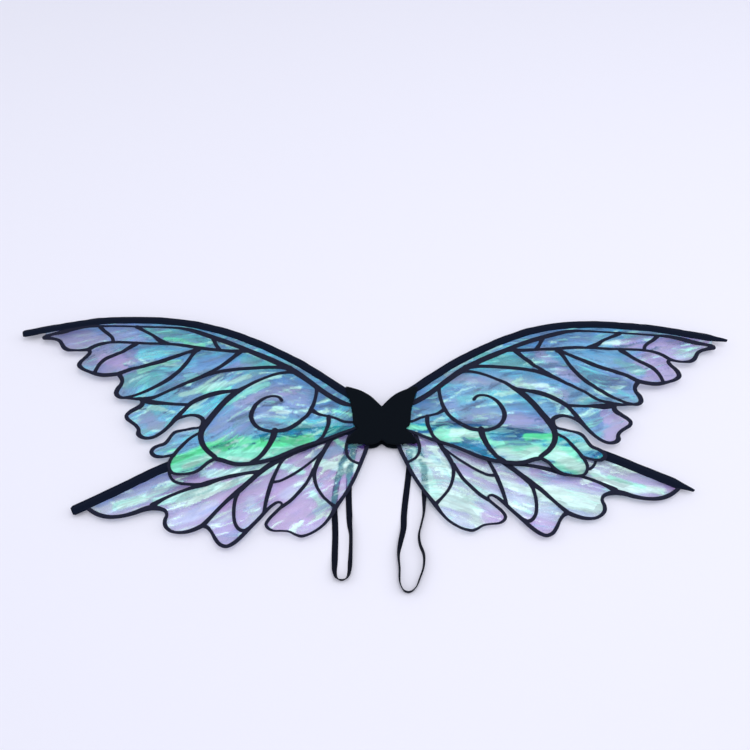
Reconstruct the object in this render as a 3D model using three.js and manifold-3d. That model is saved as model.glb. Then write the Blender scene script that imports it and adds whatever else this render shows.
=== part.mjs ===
// Costume fairy wings, lying flat: four bendable wings on a felt pad with two elastic arm loops.
// Millimetres, +X to the viewer's right, +Y to the top of the wings, +Z away from the wearer.
// The origin is the middle of the back pad's rear face, which rests on the wearer's back.

import * as THREE from "three";
import { mergeVertices } from "three/addons/utils/BufferGeometryUtils.js";
import Module from "manifold-3d";

const wasm = await Module();
wasm.setup();

// ---- driving dimensions ----

const gap = 0.3;                 // between pieces that touch
const foldGap = 0.8;             // each side of a fold line, so that the cut ends pass each other
const feltThickness = 2.5;
const wireDiameter = 2.2;
const bindingWall = 0.8;         // wrap that ties the two root wires
const sleeveThickness = 4.2;
const upperSleeveWidth = 10.5;
const lowerSleeveWidth = 12;
const filmThickness = 0.4;
const veinThickness = 0.7;
const bandWidth = 7;             // elastic of the arm loops
const bandThickness = 1.1;
const maxTwist = 6;              // degrees; a longer twist in one step would make the band's faces cross
const tackThickness = 0.4;
const tackInset = 0.8;           // of a tack from each edge of the band
const tackSpan = [0.15, 0.6];    // where a tack starts and stops along the sewn end

const padRoom = 2.2;             // clear space round the pads, so that the wings can fold
const rightWingInset = 9;        // the right upper wing sits this much deeper in the pad,
const rightWingRise = 0.02;      // slopes up this much more up to its elbow
const rightWingDroop = 0.0575;   // and is bent down past it
const rightWingElbow = 200;
const elbowSoftness = 60;
const rightTipCurl = {           // and its tip rises again: slope, start and softness of the bend
  sleeve: [0.075, 375, 50],
  film: [0.11, 395, 15],
};
const rightSleeveCut = 8;        // and its sleeve ends this much sooner
const rightLowerTurn = THREE.MathUtils.degToRad(4.1);   // the right lower wing is set this much higher

const tipInset = 8;              // of a wire's end from its sleeve's
const bindingY = -6;
const bindingLength = 12;

// Heights, stacked up from the back pad: lower wings, upper wings, front pad.
const lowerPlaneZ = feltThickness + 2 * gap + bindingWall + wireDiameter / 2;
const upperPlaneZ = lowerPlaneZ + sleeveThickness / 2 + gap + filmThickness / 2;
const frontPadZ = upperPlaneZ + wireDiameter / 2 + 2 * gap + bindingWall;
const strapEndZ = -gap - bandThickness;
const floorZ = strapEndZ - gap - tackThickness;

// Cutting tools are plates this thick from this height, and they reach past every wing.
const cutterDepth = 60;
const cutterZ = -20;
const cutterReach = 600;

// Fold lines of the wings beside the left edge of the pad, mirrored for the right: two points each.
const upperFold = [[46.5, 50], [37, -12]];
const lowerFold = [[38.5, -8], [22, -40]];

// ---- outlines and curves, as [distance from the middle, height, width] ----

// Half of the butterfly pad, from the notch at the top round to the notch at the bottom.
const padHalf = [
  [0, 18], [6, 25], [14, 33], [24, 39.5], [34, 43.5], [43.4, 45.6], [43.8, 42.5], [41, 33], [37.5, 22],
  [35.5, 11], [34.5, 0.5], [33, -7.5], [29, -12], [32, -15.5], [36.5, -20.5], [40, -26], [41.5, -29.5],
  [39.5, -32], [34, -31.8], [28, -32.2], [21, -33], [13, -33], [6, -31.5], [2.5, -29], [0, -27.3],
];

const upper = {
  name: "upper",
  planeZ: upperPlaneZ,
  fold: upperFold,
  sleeveWidth: upperSleeveWidth,
  leadingEdge: [
    [38, 36], [50, 44.8], [70, 59.5], [100, 80.5], [130, 98], [160, 113.5], [200, 130], [240, 141.3],
    [280, 147], [320, 148.5], [360, 147], [400, 140.2], [430, 133.5], [458, 126.8],
  ],
  // The free edge from the pad to the tip, one list per scallop: each is also a vein.
  edge: [
    [[31, -9, 3.2], [40, -13, 3.4], [50, -17, 3.6], [60, -22, 3.8], [75, -28, 4], [92, -34, 4.2],
      [108, -41.5, 4.6], [124, -49, 5], [140, -54, 5], [156, -56.5, 5]],
    [[156, -56.5, 5], [166, -57, 5], [176, -55.2, 5.2], [185, -52, 5.4], [194, -50, 5]],
    [[194, -50, 4.6], [202, -55, 4.2], [209, -63.5, 4], [216, -68, 3.6], [225, -70, 3.2], [234, -70, 3.2],
      [241, -68, 3.4], [245.5, -62, 3.6], [246.5, -55, 4], [243, -45, 4]],
    [[243, -45, 4], [249, -46.3, 3.4], [257, -47.6, 3.6], [265, -46.2, 4.6], [269.3, -41, 5],
      [267.5, -36.5, 4.6], [262, -33, 4], [255.5, -30.5, 4.4], [252, -26, 4.4], [249, -20, 4],
      [245.5, -15.5, 4.2], [238, -13, 3.4], [227, -10.8, 3], [217, -9, 3.6], [213, -5, 6]],
    [[213, -5, 6], [214, 2, 5.6], [220, 6.6, 4.6], [228, 8, 3.6], [236, 6.6, 3.8], [243, 3.6, 4.2],
      [249, -1, 5]],
    [[249, -1, 5.4], [253, -6.5, 5], [257.5, -12, 4.6], [263, -17.3, 4.2], [269, -21.5, 4],
      [276, -23.4, 4], [283, -22, 4.6], [288, -17.5, 6], [288.5, -12, 4.6], [292.5, -6.5, 4.2],
      [299, -1.5, 4.2], [304.6, 3, 4.6], [306.3, 7.5, 5], [303, 11.8, 5], [296, 16.6, 5.6],
      [290.5, 21, 6.4], [289.5, 26, 6], [292, 30, 5]],
    [[292, 30, 5], [301, 30.2, 3.6], [310, 31.8, 3.6], [318.5, 33, 4.4], [323.6, 38, 6], [323, 45, 6.2],
      [319.8, 51, 5], [319.4, 56, 5], [321.5, 61, 5.6], [326, 66.5, 5.6]],
    [[326, 66.5, 5.6], [335, 65.2, 5.6], [345, 64.8, 5.6], [355, 67, 5], [364, 70.3, 4], [372, 74.3, 4.6],
      [377, 79.5, 6], [376.4, 85.5, 6], [373, 91, 5], [369.5, 95.5, 5], [367.5, 99.5, 5],
      [370.5, 103.3, 4.6]],
    [[370.5, 103.3, 4.6], [378, 102, 3.4], [388, 101.6, 3.4], [396, 102.6, 5], [401.5, 106, 5.4],
      [405, 111, 5], [408.5, 115.6, 4.6], [414, 118.4, 4.2], [421, 119.8, 4.6], [428.5, 121.2, 7.4]],
  ],
  veins: [
    // The second spar, close under the sleeve.
    [[36, 21.6, 4], [45, 24, 6.4], [58, 31, 6.8], [72, 41, 6.8], [90, 56, 7], [104, 67, 7.6], [116, 75, 8],
      [130, 83, 7.2], [146, 91, 7.4], [160, 97.5, 6.8], [172, 103, 6]],
    [[168, 101.5, 6], [184, 108.8, 6.2], [200, 115.6, 6.6], [214, 121.2, 6.4], [230, 127.6, 6.2],
      [244, 132.6, 5.4], [258, 135.6, 4], [275, 136.8, 2.8], [300, 137.6, 2.6], [330, 138.8, 2.6],
      [355, 139, 3], [378, 138.6, 5], [394, 135, 6.4], [406, 130.3, 6.4], [418, 126.8, 4.6],
      [428, 123.4, 4.6]],
    // The middle spar and its struts.
    [[168, 101, 6.4], [184, 100.2, 5], [200, 101.4, 4.2], [222, 104, 4.6], [245, 107.8, 4.4],
      [270, 110.8, 3.6], [298, 112, 3.6], [325, 113.8, 3.6], [342, 114, 3.6], [354, 112.2, 4.2],
      [363, 108.6, 4.6], [370.5, 103.3, 5]],
    [[214, 120.5, 7], [210.5, 112, 4.6], [205, 103, 5.6]],
    [[270, 111.4, 4], [282, 116.6, 6], [291, 124, 4], [302, 130.4, 4], [314, 137.6, 5.4]],
    [[340.5, 114.4, 4.4], [342.4, 120, 4.4], [347.5, 125.6, 4.4], [354, 130.6, 4.6], [361, 137.5, 5.6]],
    // Ribs of the outer scallops.
    [[311, 111.5, 7], [318, 106.2, 5.6], [326, 100, 4.6], [336, 94.4, 4.8], [346, 88.6, 5.2], [352, 81, 5],
      [354.5, 74, 4.6], [356, 67.5, 5]],
    [[231, 103, 7], [243, 98.6, 4.6], [258, 92, 5.2], [276, 84.6, 5.6], [296, 78.6, 5], [312, 73, 5.2],
      [326, 66.5, 6]],
    [[234, 101, 6], [238.5, 93, 4.8], [243, 83, 5], [251.5, 70.5, 5.2], [261, 59.6, 5.6], [274, 49.6, 4.6],
      [288, 41, 4.2], [302, 34.6, 3.6], [313, 32.2, 3.6]],
    [[114, 75, 7.6], [126, 76.2, 5.2], [144, 76, 4.6], [162, 74.8, 4.6], [182, 73, 4.6], [200, 69.8, 4.8],
      [216, 64.6, 5], [230, 58, 4.8], [246, 49.8, 4], [262, 40.6, 3.8], [276, 32.8, 4.4], [290, 29.4, 6]],
    [[178, 99.4, 7], [185, 92, 5.4], [192.5, 84.4, 5.4], [202, 76, 4.6], [213, 68.6, 4.6], [228, 59.4, 5]],
    [[290, 28, 6], [278, 25.4, 6.4], [262, 24, 4.4], [246, 23, 3.8], [232, 22.4, 4.4]],
    // The great loop.
    [[104, 68.4, 6], [116, 69, 4], [130, 66.4, 3.8], [144, 60.8, 3.6], [158, 53.4, 4.2], [168, 46.8, 5],
      [178, 39.6, 7.4], [187, 30.4, 7.4], [195, 20, 7.6], [202, 9, 7.6], [208.5, -2, 8], [213, -11, 7.6],
      [214, -20, 7], [211, -30, 6.4], [204.5, -39, 5.8], [194, -48, 5.4]],
    [[174, 42.6, 6], [186, 41.4, 4.6], [198, 39.6, 6], [210, 36, 6.2], [222, 30.4, 6], [231.5, 24, 5.6],
      [237, 16.6, 5.2], [243, 8.4, 5.8], [249, -1, 5.6]],
    [[213, -15, 4], [220, -18.6, 3.4], [227, -24, 3.6], [234, -32.4, 4.4], [239.5, -40, 4.4], [243, -46, 5]],
    // The curl and what holds it.
    [[79, 47, 5.6], [79.6, 38, 4.4], [81, 28, 4.4], [83.6, 19, 5.2], [88, 9.6, 4.6], [95, 1.4, 4.6],
      [103.5, -5.6, 5.4], [113, -11.2, 5], [123, -13.4, 4.6], [134, -13.4, 4.2], [145, -10, 4.2],
      [153, -2.6, 5], [156.6, 7, 5.8], [154.6, 17, 5.4], [149, 26, 4.6], [140.6, 32.4, 3.4],
      [131.4, 34.6, 3], [125, 33, 3.4], [121.3, 28.8, 4.4]],
    [[127, -13, 8], [128, -20, 7.6], [131, -29, 6.4], [136, -39, 5.8], [143, -48.4, 5.2], [151, -54.4, 5]],
    // Small veins beside the pad.
    [[33, -1.8, 3.2], [45, -0.8, 3.4], [56, 4, 3.2], [68, 7, 3], [76, 9, 3.4], [84.5, 14.5, 6]],
    [[63.5, 5.5, 5.6], [63.6, -4, 5], [66.6, -13.6, 4.2], [70, -21.6, 4], [76, -28, 4.2]],
  ],
};

const lower = {
  name: "lower",
  planeZ: lowerPlaneZ,
  fold: lowerFold,
  sleeveWidth: lowerSleeveWidth,
  leadingEdge: [
    [33, -11], [50, -11.2], [70, -12], [100, -15], [130, -20], [160, -26], [190, -34], [215, -42.5],
    [242, -55], [270, -69.8], [300, -87], [348.5, -114.2],
  ],
  edge: [
    [[17, -31, 5], [19.5, -40, 5], [23, -50, 4.8], [28, -64, 4.4], [34, -78, 4.4], [41, -91.4, 4.2],
      [47.6, -102, 4.6], [53, -111, 5.4]],
    [[53, -111, 5.4], [58, -120, 3.8], [65, -129.6, 3.2], [74, -137, 3], [82, -141.4, 3], [89.5, -143.4, 3.4],
      [96, -141.4, 2.8], [103, -138.2, 2.4], [112, -137.2, 2.4], [121, -136.8, 2.6], [126.6, -134.2, 3.4],
      [129.2, -130, 3.8], [126.5, -123.6, 3.8], [120.5, -116.4, 3.8], [113.4, -108.8, 3.6]],
    [[113.4, -108.8, 3.4], [113.3, -104.6, 2.8], [117.4, -103.2, 3.2], [124, -107.2, 3.8], [131, -114.6, 4.2],
      [139, -124.6, 4.4], [148, -135, 4.8], [156, -144.6, 4.8], [164, -152, 4.6], [171, -155.2, 4.2],
      [178, -153, 4.2], [184, -146.4, 4.2], [189, -138.6, 3.6], [194, -133.2, 4.4], [199.5, -130.8, 5.6]],
    [[199.5, -130.8, 5.6], [208, -135.4, 5], [218, -138.6, 4.2], [228, -139, 3.4], [236, -136.2, 3.8],
      [241.4, -130.6, 4.6], [242.4, -124.6, 4.4], [241.2, -118.6, 3.8], [243.4, -113.8, 4], [250, -111, 5.2],
      [259, -109.4, 7.4]],
    [[259, -109.4, 7.4], [268, -111.8, 6.2], [279, -116.4, 5.2], [292, -120, 4.6], [306, -120.8, 4.8],
      [318, -118, 5], [328, -112.6, 4.6], [334, -108, 4.6]],
  ],
  veins: [
    // The vein that follows the shadow line of the upper wing, then crosses the panel.
    [[45, -17, 3.6], [62, -24, 4.6], [80, -31.4, 5], [100, -39.4, 5.6], [118, -49.6, 6.6],
      [132, -58.8, 6.4], [144, -69.4, 6.2], [155, -81, 6.4], [163.6, -89.6, 7], [174, -99.6, 5],
      [184, -111, 4.6], [192, -121.4, 4.6], [199.5, -130.8, 6]],
    // The long outer cell.
    [[140, -65.4, 5], [156, -67.4, 4], [172, -70.6, 4.4], [188, -75.4, 5], [204, -81.4, 6.6],
      [218, -85.6, 4.2], [232, -91.2, 3.6], [246, -98.2, 4], [259, -107, 7]],
    [[206, -82, 5.6], [218, -81.2, 3.6], [230, -80, 3.4], [238.6, -77, 3.4], [243.8, -71, 3.4],
      [246.6, -63, 3.6]],
    // The inner cells.
    [[163, -89, 5.6], [165.8, -98, 4.4], [166.8, -109, 4.2], [165.8, -121, 4], [163, -130, 4],
      [158, -135.6, 4.2], [152.6, -137, 4.4], [147, -133.6, 4.6]],
    [[112, -45.6, 5.6], [117.4, -54, 3.8], [122, -65, 4], [125.8, -76, 4.8], [128.6, -88, 5.2],
      [131, -101, 4.6], [132.6, -115.4, 4]],
    [[60, -23, 5], [65, -32.4, 5], [70, -42.6, 5.2], [74.8, -53, 5.6], [78, -64, 5], [77.4, -74, 4.2],
      [73.6, -85.6, 3.6], [66.6, -96, 3.4], [59, -103.6, 3.6], [53.4, -108.6, 5]],
    [[79, -62, 5], [82.4, -70, 4], [87.4, -80, 3.8], [95, -90.6, 4.2], [104, -101.4, 4.2], [113, -108.6, 4]],
    [[68, -38, 4], [75, -45.2, 3], [85, -54.6, 3], [96, -63.8, 3.2], [108, -72.4, 3.2], [117, -77.2, 3.2],
      [126, -78.8, 4]],
    // The small loop at the pad's corner.
    [[36, -13.4, 4], [39, -20.6, 4], [41, -28, 4], [42, -36, 4], [40.4, -44, 3.4], [36, -50, 3.2],
      [30, -53.4, 3], [25.4, -55.2, 3.4]],
  ],
};

// Arm loops from the inner sewn end round to the outer one: [x, y, roll of the band in degrees].
const strapRoutes = {
  left: {
    ends: [[[-27, -15], [-31.6, -31.6]], [[-36, -16], [-40.2, -31.6]]],
    loop: [
      [-32, -33.2, 0], [-35.2, -46, 0], [-38, -73, 0], [-37.8, -99, 0], [-37, -115, -10],
      [-36.4, -127, -35], [-34.9, -139, -57], [-34.7, -152, -57], [-34.9, -163, -52], [-35.2, -172, -46],
      [-35.7, -181, -55], [-38, -188.6, -68], [-43.8, -191.4, -84], [-49.6, -188.8, -68],
      [-51.9, -181.5, -50], [-52, -173, -30], [-52.2, -160, 0], [-52.2, -141, 0], [-53, -123, 0],
      [-54.2, -105, 0], [-53, -84, 0], [-48.4, -58, 0], [-40.8, -33.2, 0],
    ],
  },
  right: {
    ends: [[[27, -15], [31.4, -31.6]], [[36.5, -16], [41, -31.6]]],
    loop: [
      [31.8, -33.2, 0], [32.4, -50, 0], [29.8, -75, 0], [26.7, -98, 0], [24.5, -118, 0], [24.3, -126, 12],
      [23.5, -134, 28], [20.3, -148, 45], [17.8, -162, 66], [18.7, -178, 75], [18.9, -194, 79],
      [23.2, -202.9, 84], [29.4, -204.4, 86], [35.6, -199.6, 82], [40.5, -189, 78], [44.9, -176, 77],
      [45.5, -163, 77], [41.6, -151, 77], [40.8, -140, 77], [43.7, -128, 76], [46.9, -115, 73],
      [47.8, -102, 60], [48.4, -90, 35], [49.6, -73, 0], [48.4, -52, 0], [41.6, -33.2, 0],
    ],
  },
};

// ---- helpers ----

const colours = {
  felt: { color: 0x0c0f15, roughness: 0.95, metalness: 0 },
  sleeve: { color: 0x101018, roughness: 0.85, metalness: 0 },
  veins: { color: 0x16161f, roughness: 0.6, metalness: 0 },
  film: { color: 0xc6b8e6, roughness: 0.15, metalness: 0.1 },
  elastic: { color: 0x12121a, roughness: 0.8, metalness: 0 },
  steel: { color: 0x8a8d92, roughness: 0.4, metalness: 0.9 },
  thread: { color: 0x1a1a20, roughness: 0.9, metalness: 0 },
};

const part = new THREE.Group();

function addSolid(name, solid, look) {
  const mesh = new THREE.Mesh(toGeometry(solid), new THREE.MeshStandardMaterial(colours[look]));
  mesh.name = name;
  part.add(mesh);
}

function toSolid(geometry) {
  const bare = geometry.clone();
  bare.deleteAttribute("normal");
  bare.deleteAttribute("uv");
  const merged = mergeVertices(bare, 1e-4);
  const mesh = new wasm.Mesh({
    numProp: 3,
    vertProperties: new Float32Array(merged.attributes.position.array),
    triVerts: new Uint32Array(merged.index.array),
  });
  return new wasm.Manifold(mesh);
}

function toGeometry(solid) {
  const mesh = solid.getMesh();
  const geometry = new THREE.BufferGeometry();
  geometry.setAttribute("position", new THREE.BufferAttribute(new Float32Array(mesh.vertProperties), 3));
  geometry.setIndex(new THREE.BufferAttribute(new Uint32Array(mesh.triVerts), 1));
  geometry.computeVertexNormals();
  return geometry;
}

// The biggest of the separate bodies of a solid: a cut can leave slivers.
function biggest(solid) {
  return solid.decompose().sort((a, b) => b.volume() - a.volume())[0];
}

const distanceToChord = (p, a, b) => {
  const length = Math.hypot(b[0] - a[0], b[1] - a[1]) || 1;
  return Math.abs((b[0] - a[0]) * (a[1] - p[1]) - (a[0] - p[0]) * (b[1] - a[1])) / length;
};

// Drops the points of a fine curve that lie within the tolerance of the chord.
function thin(points, tolerance) {
  let worst = 0;
  let at = 0;
  const last = points.length - 1;
  for (let i = 1; i < last; i++) {
    const off = distanceToChord(points[i], points[0], points[last]);
    if (off > worst) [worst, at] = [off, i];
  }
  if (worst <= tolerance) return [points[0], points[last]];
  return [...thin(points.slice(0, at + 1), tolerance).slice(0, -1), ...thin(points.slice(at), tolerance)];
}

// A smooth curve through [x, y, third] points, as few points as its shape needs.
function smooth(points, tolerance = 0.3) {
  const vectors = points.map((p) => new THREE.Vector3(p[0], p[1], p[2] ?? 0));
  const curve = new THREE.CatmullRomCurve3(vectors, false, "centripetal");
  const fine = curve.getPoints(points.length * 6).map((p) => [p.x, p.y, p.z]);
  return thin(fine, tolerance);
}

// Cuts the steps of a line so that the third value, in degrees, changes by no more than maxTwist in each.
function gentle(points) {
  return points.flatMap((from, i) => {
    const to = points[i + 1];
    if (!to) return [from];
    const steps = Math.max(1, Math.ceil(Math.abs(to[2] - from[2]) / maxTwist));
    return Array.from({ length: steps }, (_, k) => from.map((v, axis) => v + ((to[axis] - v) * k) / steps));
  });
}

// Where a point of the left wing goes on each side. The right wings are bent and turned a little.
function placed(side, wing, [x, y, width], piece = "film") {
  if (side === "left") return [-x, y, width];
  if (wing === lower) {
    const [c, s] = [Math.cos(rightLowerTurn), Math.sin(rightLowerTurn)];
    return [x * c - y * s, x * s + y * c, width];
  }
  const bend = (slope, start, softness) => slope * (x - start + Math.hypot(x - start, softness));
  const rise = rightWingRise * Math.min(x, rightWingElbow) + bend(...rightTipCurl[piece]);
  return [x - rightWingInset, y + rise - bend(rightWingDroop, rightWingElbow, elbowSoftness), width];
}

function plate(outline, thickness, z) {
  const shape = new THREE.Shape(outline.map((p) => new THREE.Vector2(p[0], p[1])));
  const geometry = new THREE.ExtrudeGeometry(shape, { depth: thickness, bevelEnabled: false });
  geometry.translate(0, 0, z);
  return toSolid(geometry);
}

// A closed solid through rings of points of the same count, each seen anticlockwise from the start.
function skin(rings) {
  const count = rings[0].length;
  const index = [];
  for (let r = 0; r + 1 < rings.length; r++) {
    for (let k = 0; k < count; k++) {
      const next = (k + 1) % count;
      const [a, b] = [r * count + k, r * count + next];
      index.push(a, b + count, b, a, a + count, b + count);
    }
  }
  const last = (rings.length - 1) * count;
  for (let k = 1; k + 1 < count; k++) {
    index.push(0, k, k + 1, last, last + k + 1, last + k);
  }
  const geometry = new THREE.BufferGeometry();
  geometry.setAttribute("position", new THREE.Float32BufferAttribute(rings.flat(2), 3));
  geometry.setIndex(index);
  return toSolid(geometry);
}

function heading(line, i) {
  const a = line[Math.max(i - 1, 0)];
  const b = line[Math.min(i + 1, line.length - 1)];
  return Math.atan2(b[1] - a[1], b[0] - a[0]);
}

// Sweeps a section of [across, up] points along a level line; rollAt tilts it and liftAt raises it.
function sweep(line, section, z, rollAt = () => 0, liftAt = () => 0) {
  return skin(line.map(([x, y], i) => {
    const angle = heading(line, i) - Math.PI / 2;
    const [c, s] = [Math.cos(rollAt(i)), Math.sin(rollAt(i))];
    return section.map(([across, up]) => {
      const out = across * c - up * s;
      return [x + out * Math.cos(angle), y + out * Math.sin(angle), z + liftAt(i) + across * s + up * c];
    });
  }));
}

// A flat ribbon along a line, as wide as the line's third values, with rounded ends.
function ribbon(line, z) {
  const spreads = [25, 58].map(THREE.MathUtils.degToRad);
  const last = line.length - 1;
  const beside = ([x, y, width], angle) => (
    [x + (width / 2) * Math.cos(angle), y + (width / 2) * Math.sin(angle)]
  );
  const pair = (i, turn) => [turn, -turn].map((t) => beside(line[i], heading(line, i) + t));
  const rows = [
    ...spreads.map((spread) => pair(0, Math.PI - spread)),
    ...line.map((point, i) => pair(i, Math.PI / 2)),
    ...spreads.reverse().map((spread) => pair(last, spread)),
  ];
  return skin(rows.map(([left, right]) => [
    [...right, z], [...right, z + veinThickness], [...left, z + veinThickness], [...left, z],
  ]));
}

const circle = (diameter, sides) => Array.from({ length: sides }, (_, k) => {
  const angle = (2 * Math.PI * k) / sides;
  return [(diameter / 2) * Math.cos(angle), (diameter / 2) * Math.sin(angle)];
});

const rectangle = (width, height) => (
  [[1, -1], [1, 1], [-1, 1], [-1, -1]].map(([a, b]) => [a * width / 2, b * height / 2])
);

// The flattened section of a fabric sleeve.
function sleeveSection(width, thickness) {
  const quarter = [[width / 2, thickness * 0.2], [width * 0.3, thickness / 2]];
  const mirrored = quarter.map(([a, b]) => [-a, b]).reverse();
  const top = [...quarter, ...mirrored];
  return [...top, ...top.map(([a, b]) => [-a, -b])];
}

const mirrorIf = (side, points) => (side === "left" ? points.map(([x, y]) => [-x, y]) : points);
const isClockwise = (points) => THREE.ShapeUtils.isClockWise(points.map(([x, y]) => ({ x, y })));
const facing = (points) => (isClockwise(points) ? [...points].reverse() : points);

// Everything on the pad's side of a fold line, moved outwards by the given distance.
function inboard(side, fold, outwards) {
  const reach = cutterReach / 3;
  const [[ax, ay], [bx, by]] = fold;
  const length = Math.hypot(ax - bx, ay - by);
  const along = [(ax - bx) / length, (ay - by) / length];
  const shift = [along[1] * outwards, -along[0] * outwards];
  const top = [ax + shift[0] + along[0] * reach, ay + shift[1] + along[1] * reach];
  const bottom = [bx + shift[0] - along[0] * reach, by + shift[1] - along[1] * reach];
  const points = [top, bottom, [bottom[0] - 2 * reach, bottom[1]], [top[0] - 2 * reach, top[1]]];
  return plate(facing(mirrorIf(side, points)), cutterDepth, cutterZ);
}

// ---- pads ----

const padRight = smooth(padHalf, 0.15);
const padOutline = facing([...padRight, ...padRight.slice(1, -1).reverse().map(([x, y]) => [-x, y])]);

// The pad outline grown by the room that the wings keep from it.
const padZone = plate(padOutline.map(([x, y], i) => {
  const angle = Math.atan2(
    padOutline.at((i + 1) % padOutline.length)[1] - padOutline.at(i - 1)[1],
    padOutline.at((i + 1) % padOutline.length)[0] - padOutline.at(i - 1)[0],
  );
  return [x + padRoom * Math.sin(angle), y - padRoom * Math.cos(angle)];
}), cutterDepth, cutterZ);

// Everything on one side of the middle.
const half = (side) => plate(
  facing(mirrorIf(side, [[0, -1], [1, -1], [1, 1], [0, 1]].map((p) => p.map((c) => c * cutterReach)))),
  cutterDepth,
  cutterZ,
);

addSolid("back_pad", plate(padOutline, feltThickness, 0), "felt");
addSolid("front_pad", plate(padOutline, feltThickness, frontPadZ), "felt");

// ---- wires: one from wing tip to wing tip, bent at the fold lines ----

const rootRoutes = {
  upper: [
    [-26, 22], [-16, 2], [-9, bindingY], [-7, bindingY], [7, bindingY], [9, bindingY], [15, 2], [22, 22],
  ],
  lower: [[-18, -7.6], [-9, bindingY], [-7, bindingY], [7, bindingY], [9, bindingY], [18, -6.6]],
};

function leadingLine(side, wing, shortening = 0) {
  const line = smooth(wing.leadingEdge, 0.2);
  const last = line.length - 1;
  const turn = heading(line, last);
  const cut = shortening + (side === "right" && wing === upper ? rightSleeveCut : 0);
  line[last] = [line[last][0] - cut * Math.cos(turn), line[last][1] - cut * Math.sin(turn), 0];
  return line.map((p) => placed(side, wing, p, "sleeve"));
}

// What is left of a wing's piece outside its fold line and clear of the pads.
function wingSide(side, wing, solid) {
  return biggest(solid.subtract(inboard(side, wing.fold, foldGap)).subtract(padZone));
}

function wires(wing) {
  const [left, right] = ["left", "right"].map((side) => leadingLine(side, wing, tipInset));
  const root = smooth([left[0], ...rootRoutes[wing.name], right[0]], 0.2).slice(1, -1);
  const line = [...left.reverse(), ...root, ...right];
  const whole = sweep(line, circle(wireDiameter, 6), wing.planeZ);
  const [rootLeft, rootRight] = ["left", "right"].map((side) => inboard(side, wing.fold, -foldGap));
  addSolid(`${wing.name}_root_wire`, whole.intersect(rootLeft).intersect(rootRight), "steel");
  for (const side of ["left", "right"]) {
    addSolid(`${wing.name}_wire_${side}`, wingSide(side, wing, whole.intersect(half(side))), "steel");
  }
}

// ---- wings ----

function wingPieces(side, wing) {
  const spine = leadingLine(side, wing);
  const section = sleeveSection(wing.sleeveWidth, sleeveThickness);
  const sleeve = sweep(spine, section, wing.planeZ);
  const bore = sweep(leadingLine(side, wing, -1), circle(wireDiameter + 2 * gap, 6), wing.planeZ);
  const roomSection = sleeveSection(wing.sleeveWidth + 2 * gap, sleeveThickness + 2 * gap);
  const sleeveRoom = sweep(spine, roomSection, wing.planeZ);
  addSolid(`${wing.name}_sleeve_${side}`, wingSide(side, wing, sleeve.subtract(bore)), "sleeve");

  const edges = wing.edge.map((points) => smooth(points).map((p) => placed(side, wing, p)));
  const tip = edges.at(-1).at(-1);
  const filmSpine = spine.filter(([x]) => Math.abs(x) < Math.abs(tip[0]) + 2);
  const outline = facing([...edges.flatMap((line) => line.slice(0, -1)), tip, ...filmSpine.reverse()]);
  const film = plate(outline, filmThickness, wing.planeZ - filmThickness / 2);
  addSolid(`${wing.name}_film_${side}`, wingSide(side, wing, film.subtract(sleeveRoom)), "film");

  const veinZ = wing.planeZ + filmThickness / 2 + gap;
  const lines = [...edges, ...wing.veins.map((points) => smooth(points).map((p) => placed(side, wing, p)))];
  const lattice = wasm.Manifold.union(lines.map((line) => ribbon(line, veinZ)));
  addSolid(`${wing.name}_veins_${side}`, wingSide(side, wing, lattice.subtract(sleeveRoom)), "veins");
}

for (const wing of [upper, lower]) {
  wires(wing);
  for (const side of ["left", "right"]) wingPieces(side, wing);
}

// The wrap that ties the two root wires together at the middle of the pad: a short open tube.
const wrapMiddleZ = (lowerPlaneZ + upperPlaneZ) / 2;
const wrapWidth = wireDiameter + 3 * gap;
const wrapHeight = upperPlaneZ - lowerPlaneZ + wireDiameter + 2 * gap;
const wrapCorners = (grow) => rectangle(wrapWidth + 2 * grow, wrapHeight + 2 * grow)
  .map(([y, z]) => new THREE.Vector2(bindingY + y, wrapMiddleZ + z));
const wrapShape = new THREE.Shape(wrapCorners(bindingWall));
wrapShape.holes.push(new THREE.Path(wrapCorners(0)));
const wrap = new THREE.ExtrudeGeometry(wrapShape, { depth: bindingLength, bevelEnabled: false });
wrap.translate(0, 0, -bindingLength / 2);
const alongX = new THREE.Vector3(1, 0, 0);
const [alongY, alongZ] = [new THREE.Vector3(0, 1, 0), new THREE.Vector3(0, 0, 1)];
wrap.applyMatrix4(new THREE.Matrix4().makeBasis(alongY, alongZ, alongX));
addSolid("root_wire_binding", toSolid(wrap), "thread");

// ---- arm loops ----

const band = rectangle(bandWidth, bandThickness);

for (const [side, route] of Object.entries(strapRoutes)) {
  const points = gentle(smooth(route.loop, 0.25));
  const rollAt = (i) => THREE.MathUtils.degToRad(points[i][2]);
  const liftAt = (i) => (bandWidth * Math.abs(Math.sin(rollAt(i))) + bandThickness * Math.cos(rollAt(i))) / 2;
  addSolid(`strap_loop_${side}`, sweep(points, band, floorZ, rollAt, liftAt), "elastic");
  route.ends.forEach((end, i) => {
    const name = `${side}_${i === 0 ? "inner" : "outer"}`;
    addSolid(`strap_end_${name}`, sweep(end, band, strapEndZ + bandThickness / 2), "elastic");
    const [from, to] = end;
    const at = (k) => [from[0] + (to[0] - from[0]) * k, from[1] + (to[1] - from[1]) * k];
    const tackSection = rectangle(bandWidth - 2 * tackInset, tackThickness);
    const tack = sweep(tackSpan.map(at), tackSection, floorZ + tackThickness / 2);
    addSolid(`strap_tack_${name}`, tack, "thread");
  });
}

export default part;
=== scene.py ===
"""The looks of a pair of costume fairy wings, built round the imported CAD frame.

Lengths in the tables and the curve code are millimetres, and MM turns them into metres.
"""

import math

import bpy
import numpy as np
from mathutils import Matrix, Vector, geometry


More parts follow.
